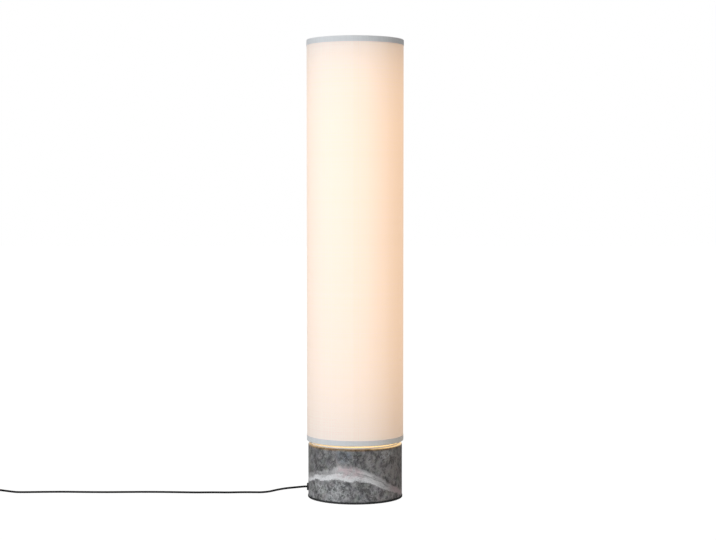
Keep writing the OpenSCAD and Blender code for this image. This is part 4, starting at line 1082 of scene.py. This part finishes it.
RELIEF_L = 12 * MM
RELIEF_FOOT_R = 4.0 * MM
RELIEF_TIP_R = 2.7 * MM
RELIEF_NECK = (2.2 * MM, 2.8 * MM)    # how far in behind the wall it reaches, and its radius
RELIEF_HEAD = (3.4 * MM, 3.6 * MM)    # the same of the head that holds it
RELIEF_BORE_R = CORD_D / 2 + 0.05 * MM
GROOVE_PITCH = 1.9 * MM
GROOVE_DEPTH = 0.65 * MM
FIRST_GROOVE = 1.6 * MM


def strain_relief(foot, direction):
    """A ribbed, tapered strain relief round the cord: a taper with smooth grooves, a round tip, and a
    bore back through it and through its neck and head behind the wall."""
    x = np.linspace(0, RELIEF_L, 97)
    taper = RELIEF_FOOT_R + (RELIEF_TIP_R - RELIEF_FOOT_R) * x / RELIEF_L
    groove = 0.5 - 0.5 * np.cos(2 * PI * (x - FIRST_GROOVE) / GROOVE_PITCH)
    groove = (smoothstep(0.45, 0.75, groove) * smoothstep(1.4 * MM, 1.8 * MM, x)
              * smoothstep(10.9 * MM, 10.4 * MM, x))
    outside = np.column_stack([x, taper - GROOVE_DEPTH * groove])
    tip = [(RELIEF_L + 0.15 * MM, RELIEF_TIP_R - 0.25 * MM), (RELIEF_L + 0.15 * MM, RELIEF_BORE_R)]
    (neck, neck_r), (head, head_r) = RELIEF_NECK, RELIEF_HEAD
    behind = [(-head, RELIEF_BORE_R), (-head, head_r), (-neck, head_r), (-neck, neck_r), (0.0, neck_r)]
    return turned(np.vstack([outside, tip, behind]), foot, direction, 48, loop=True)


BOOT_Z = 6.0 * MM
dimmer_top = dress(dimmer_cover(), "black_plastic", "base", "dimmer_upper")
dress(push_button(), "button_plastic", "button", "dimmer_button")
dimmer_reliefs = dress(
    piece("dimmer_strain_reliefs", [strain_relief((DIMMER_ENDS[end], CORD_Y * MM, BOOT_Z), (side, 0, 0))
                                    for end, side in ((1, 1), (0, -1))]),
    "cord_black", "base", "dimmer_boots")

SPRING_WIRE = 0.8 * MM
SPRING_R = 4.0 * MM
SPRING_TURNS = 3
spring_low, spring_high = span("button_spring", Z)


def helix_spring():
    """The button's spring: a round wire along a helix between its CAD node's two ends."""
    low, high = spring_low + SPRING_WIRE / 2, spring_high - SPRING_WIRE / 2
    u = np.linspace(0, 1, SPRING_TURNS * 32 + 1)
    a = 2 * PI * SPRING_TURNS * u
    path = np.column_stack([DIMMER_X + SPRING_R * np.cos(a), DIMMER_Y + SPRING_R * np.sin(a),
                            low + (high - low) * u])
    return piece("helix_spring", [tube(path, SPRING_WIRE, 12)])


spring = dress(helix_spring(), "spring_steel", "base", "button_spring")
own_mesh(spring)

# ---- the plug adapter

PIN_R = 2.0 * MM
PIN_CORE_R = 1.4 * MM
PIN_TIP_R = 1.4 * MM
PIN_ROOT = 6.0 * MM
PIN_SLEEVE_L = 10.0 * MM
PIN_BARE_L = 9.0 * MM
PIN_GAP = 18.6 * MM


def brass_pins():
    """Two pins with round tips, set in the adapter's front face."""
    face = span("adapter_front", Y)[0]
    middle_x, middle_z = (sum(span("adapter_front", axis)) / 2 for axis in (X, Z))
    end = PIN_SLEEVE_L + PIN_BARE_L
    tip = arc((0, 0), PIN_TIP_R, 0, 86, 8)[:, ::-1] + (end - PIN_TIP_R, PIN_R - PIN_TIP_R)
    profile = np.vstack([[(-PIN_ROOT, PIN_CORE_R), (PIN_SLEEVE_L, PIN_CORE_R), (PIN_SLEEVE_L, PIN_R)], tip])
    places = [(middle_x + side * PIN_GAP / 2, face, middle_z) for side in (-1, 1)]
    return piece("plug_pins", [turned(profile, place, (0, -1, 0), 48) for place in places])


pins = dress(brass_pins(), "brass", "base", "adapter_pins")
adapter_exit = (span("adapter_front", X)[0], ADAPTER_Y * MM, ADAPTER_Z * MM)
adapter_relief = dress(piece("adapter_strain_relief", [strain_relief(adapter_exit, (-1, 0, 0))]),
                       "cord_black", "base", "adapter_boot")

# ---- the coil's straps

STRAP_T = 0.8 * MM
STRAP_W = 8.0 * MM
STRAP_ROOM_X = (13.2 * MM, 29.125 * MM)
STRAP_ROOM_H = 16.8 * MM
STRAP_CORNER = 2.0 * MM


def band_skin(path, out, thickness, width, closed):
    """A flat band along a path: at each point a ring of eight corners, half the width to either side of
    the path and half the thickness in and out, with its edges drawn in a little."""
    w, t = width / 2, thickness / 2
    ring = np.array([(-w, -0.5 * t), (-w + 0.3 * t, -t), (w - 0.3 * t, -t), (w, -0.5 * t),
                     (w, 0.5 * t), (w - 0.3 * t, t), (-w + 0.3 * t, t), (-w, 0.5 * t)])
    rings = path[:, None] + ring[None, :, :1] * np.array([0, 1.0, 0]) + ring[None, :, 1:] * out[:, None]
    around = lengths(np.vstack([ring, ring[:1]]))
    along = lengths(np.vstack([path, path[:1]]) if closed else path)
    return skin(rings, along, around, loop=closed)


def coil_straps():
    """Two straps round the coil's bundle: a closed band round a rounded rectangle, and the end that
    laps over it on top."""
    skins = []
    length = STRAP_ROOM_X[1] - STRAP_ROOM_X[0] + STRAP_T
    height = STRAP_ROOM_H + STRAP_T
    edge = outline(length, height, STRAP_CORNER)
    t = np.roll(edge, -1, axis=0) - np.roll(edge, 1, axis=0)
    out = unit(np.column_stack([t[:, 1], -t[:, 0]]))
    flap = followed(np.linspace(-0.32, 0.36, 12) * length, height / 2 + STRAP_T)
    for side in (-1, 1):
        middle = np.array([(COIL_X * MM + side * sum(STRAP_ROOM_X) / 2), COIL_Y * MM,
                           STRAP_T + STRAP_ROOM_H / 2])
        for line, away, closed in ((edge, out, True), (flap, np.array([[0.0, 1.0]] * 12), False)):
            path = middle + np.stack([line[:, 0], np.zeros(len(line)), line[:, 1]], axis=1)
            normal = np.stack([away[:, 0], np.zeros(len(line)), away[:, 1]], axis=1)
            skins.append(band_skin(path, normal, STRAP_T, STRAP_W, closed))
    return piece("coil_straps", skins)


straps = dress(coil_straps(), "strap_fabric", "base", "coil_ties")

# ---- softened CAD edges

for name, width in (("dimmer_lower", 0.6 * MM), ("adapter_front", 1.2 * MM), ("adapter_back", 1.2 * MM),
                    ("cord_grommet", 0.5 * MM), ("mast_nut", 0.4 * MM), ("cap_nut", 0.4 * MM),
                    ("foot_ring", 0.5 * MM), ("reflector_plate", 0.2 * MM), ("upper_cap", 0.5 * MM),
                    ("lower_cap", 0.5 * MM), ("bottom_spider", 0.3 * MM)):
    soften(name, width)

# ---- the cords, in place of their CAD nodes

for cord_piece, replaced in ((floor_cord, "cord_run"), (coiled_cord, "cord_coil")):
    dress(cord_piece, "cord_black", "base", replaced)

# ---- floor, world and lights

FLOOR_SIZE = 30.0
FLOOR_GLOW = 0.985        # what the camera sees of the floor before any light falls on it
FLOOR_TONE = 0.12
FLOOR_BOUNCE = 0.42
WORLD_LIGHT = 0.72        # from the horizon
WORLD_ABOVE = 0.26        # from overhead
WORLD_COLOR = (1.02, 1.0, 0.98)
KEY_AZIMUTH = math.radians(-36)   # from the front, to the left
KEY_DISTANCE = 3.0
KEY_HEIGHT = 0.52
KEY_SIZE = (1.5, 1.8)
KEY_POWER = 54.0
KEY_COLOR = (0.92, 0.99, 1.05)


def studio_floor():
    """A white floor: the camera sees it glow, and the light that it throws back is duller."""
    h = FLOOR_SIZE / 2
    mesh = bpy.data.meshes.new("studio_floor")
    mesh.from_pydata([(-h, -h, 0), (h, -h, 0), (h, h, 0), (-h, h, 0)], [], [(0, 1, 2, 3)])
    made = placed("studio_floor", mesh)
    cover = bpy.data.materials.new("studio_floor")
    cover.use_nodes = True
    n = Nodes(cover.node_tree)
    bounced, tone = (n.add("BsdfDiffuse", {"Color": (grey,) * 3}) for grey in (FLOOR_BOUNCE, FLOOR_TONE))
    seen = n.add("AddShader", [tone, n.add("Emission", {"Strength": FLOOR_GLOW})])
    n.add("OutputMaterial", [n.add("MixShader", [n.eye(), bounced, seen])], None)
    made.data.materials.append(cover)


def studio_world():
    """White to the camera. Its light is strongest from the horizon."""
    world = bpy.data.worlds.new("studio")
    world.use_nodes = True
    n = Nodes(world.node_tree)
    up = n.split(n.add("TexCoord", (), "Generated"))[2]
    light = n.tint(WORLD_COLOR, n.grey(n.fade(up, 0.1, 0.75, WORLD_LIGHT, WORLD_ABOVE)))
    n.add("OutputWorld", [n.add("Background", [n.mix(n.eye(), light, (1, 1, 1))])], None)
    bpy.context.scene.world = world


def key_light():
    """A large soft light at the lamp's middle height, from the front left."""
    data = bpy.data.lights.new("key", "AREA")
    data.shape = "RECTANGLE"
    data.size, data.size_y = KEY_SIZE
    data.energy = KEY_POWER
    data.color = KEY_COLOR
    lamp = placed("key", data)
    lamp.location = (KEY_DISTANCE * math.sin(KEY_AZIMUTH), -KEY_DISTANCE * math.cos(KEY_AZIMUTH), KEY_HEIGHT)
    lamp.rotation_euler = (PI / 2, 0, KEY_AZIMUTH)


studio_floor()
studio_world()
key_light()
bpy.context.scene.view_settings.view_transform = "Standard"
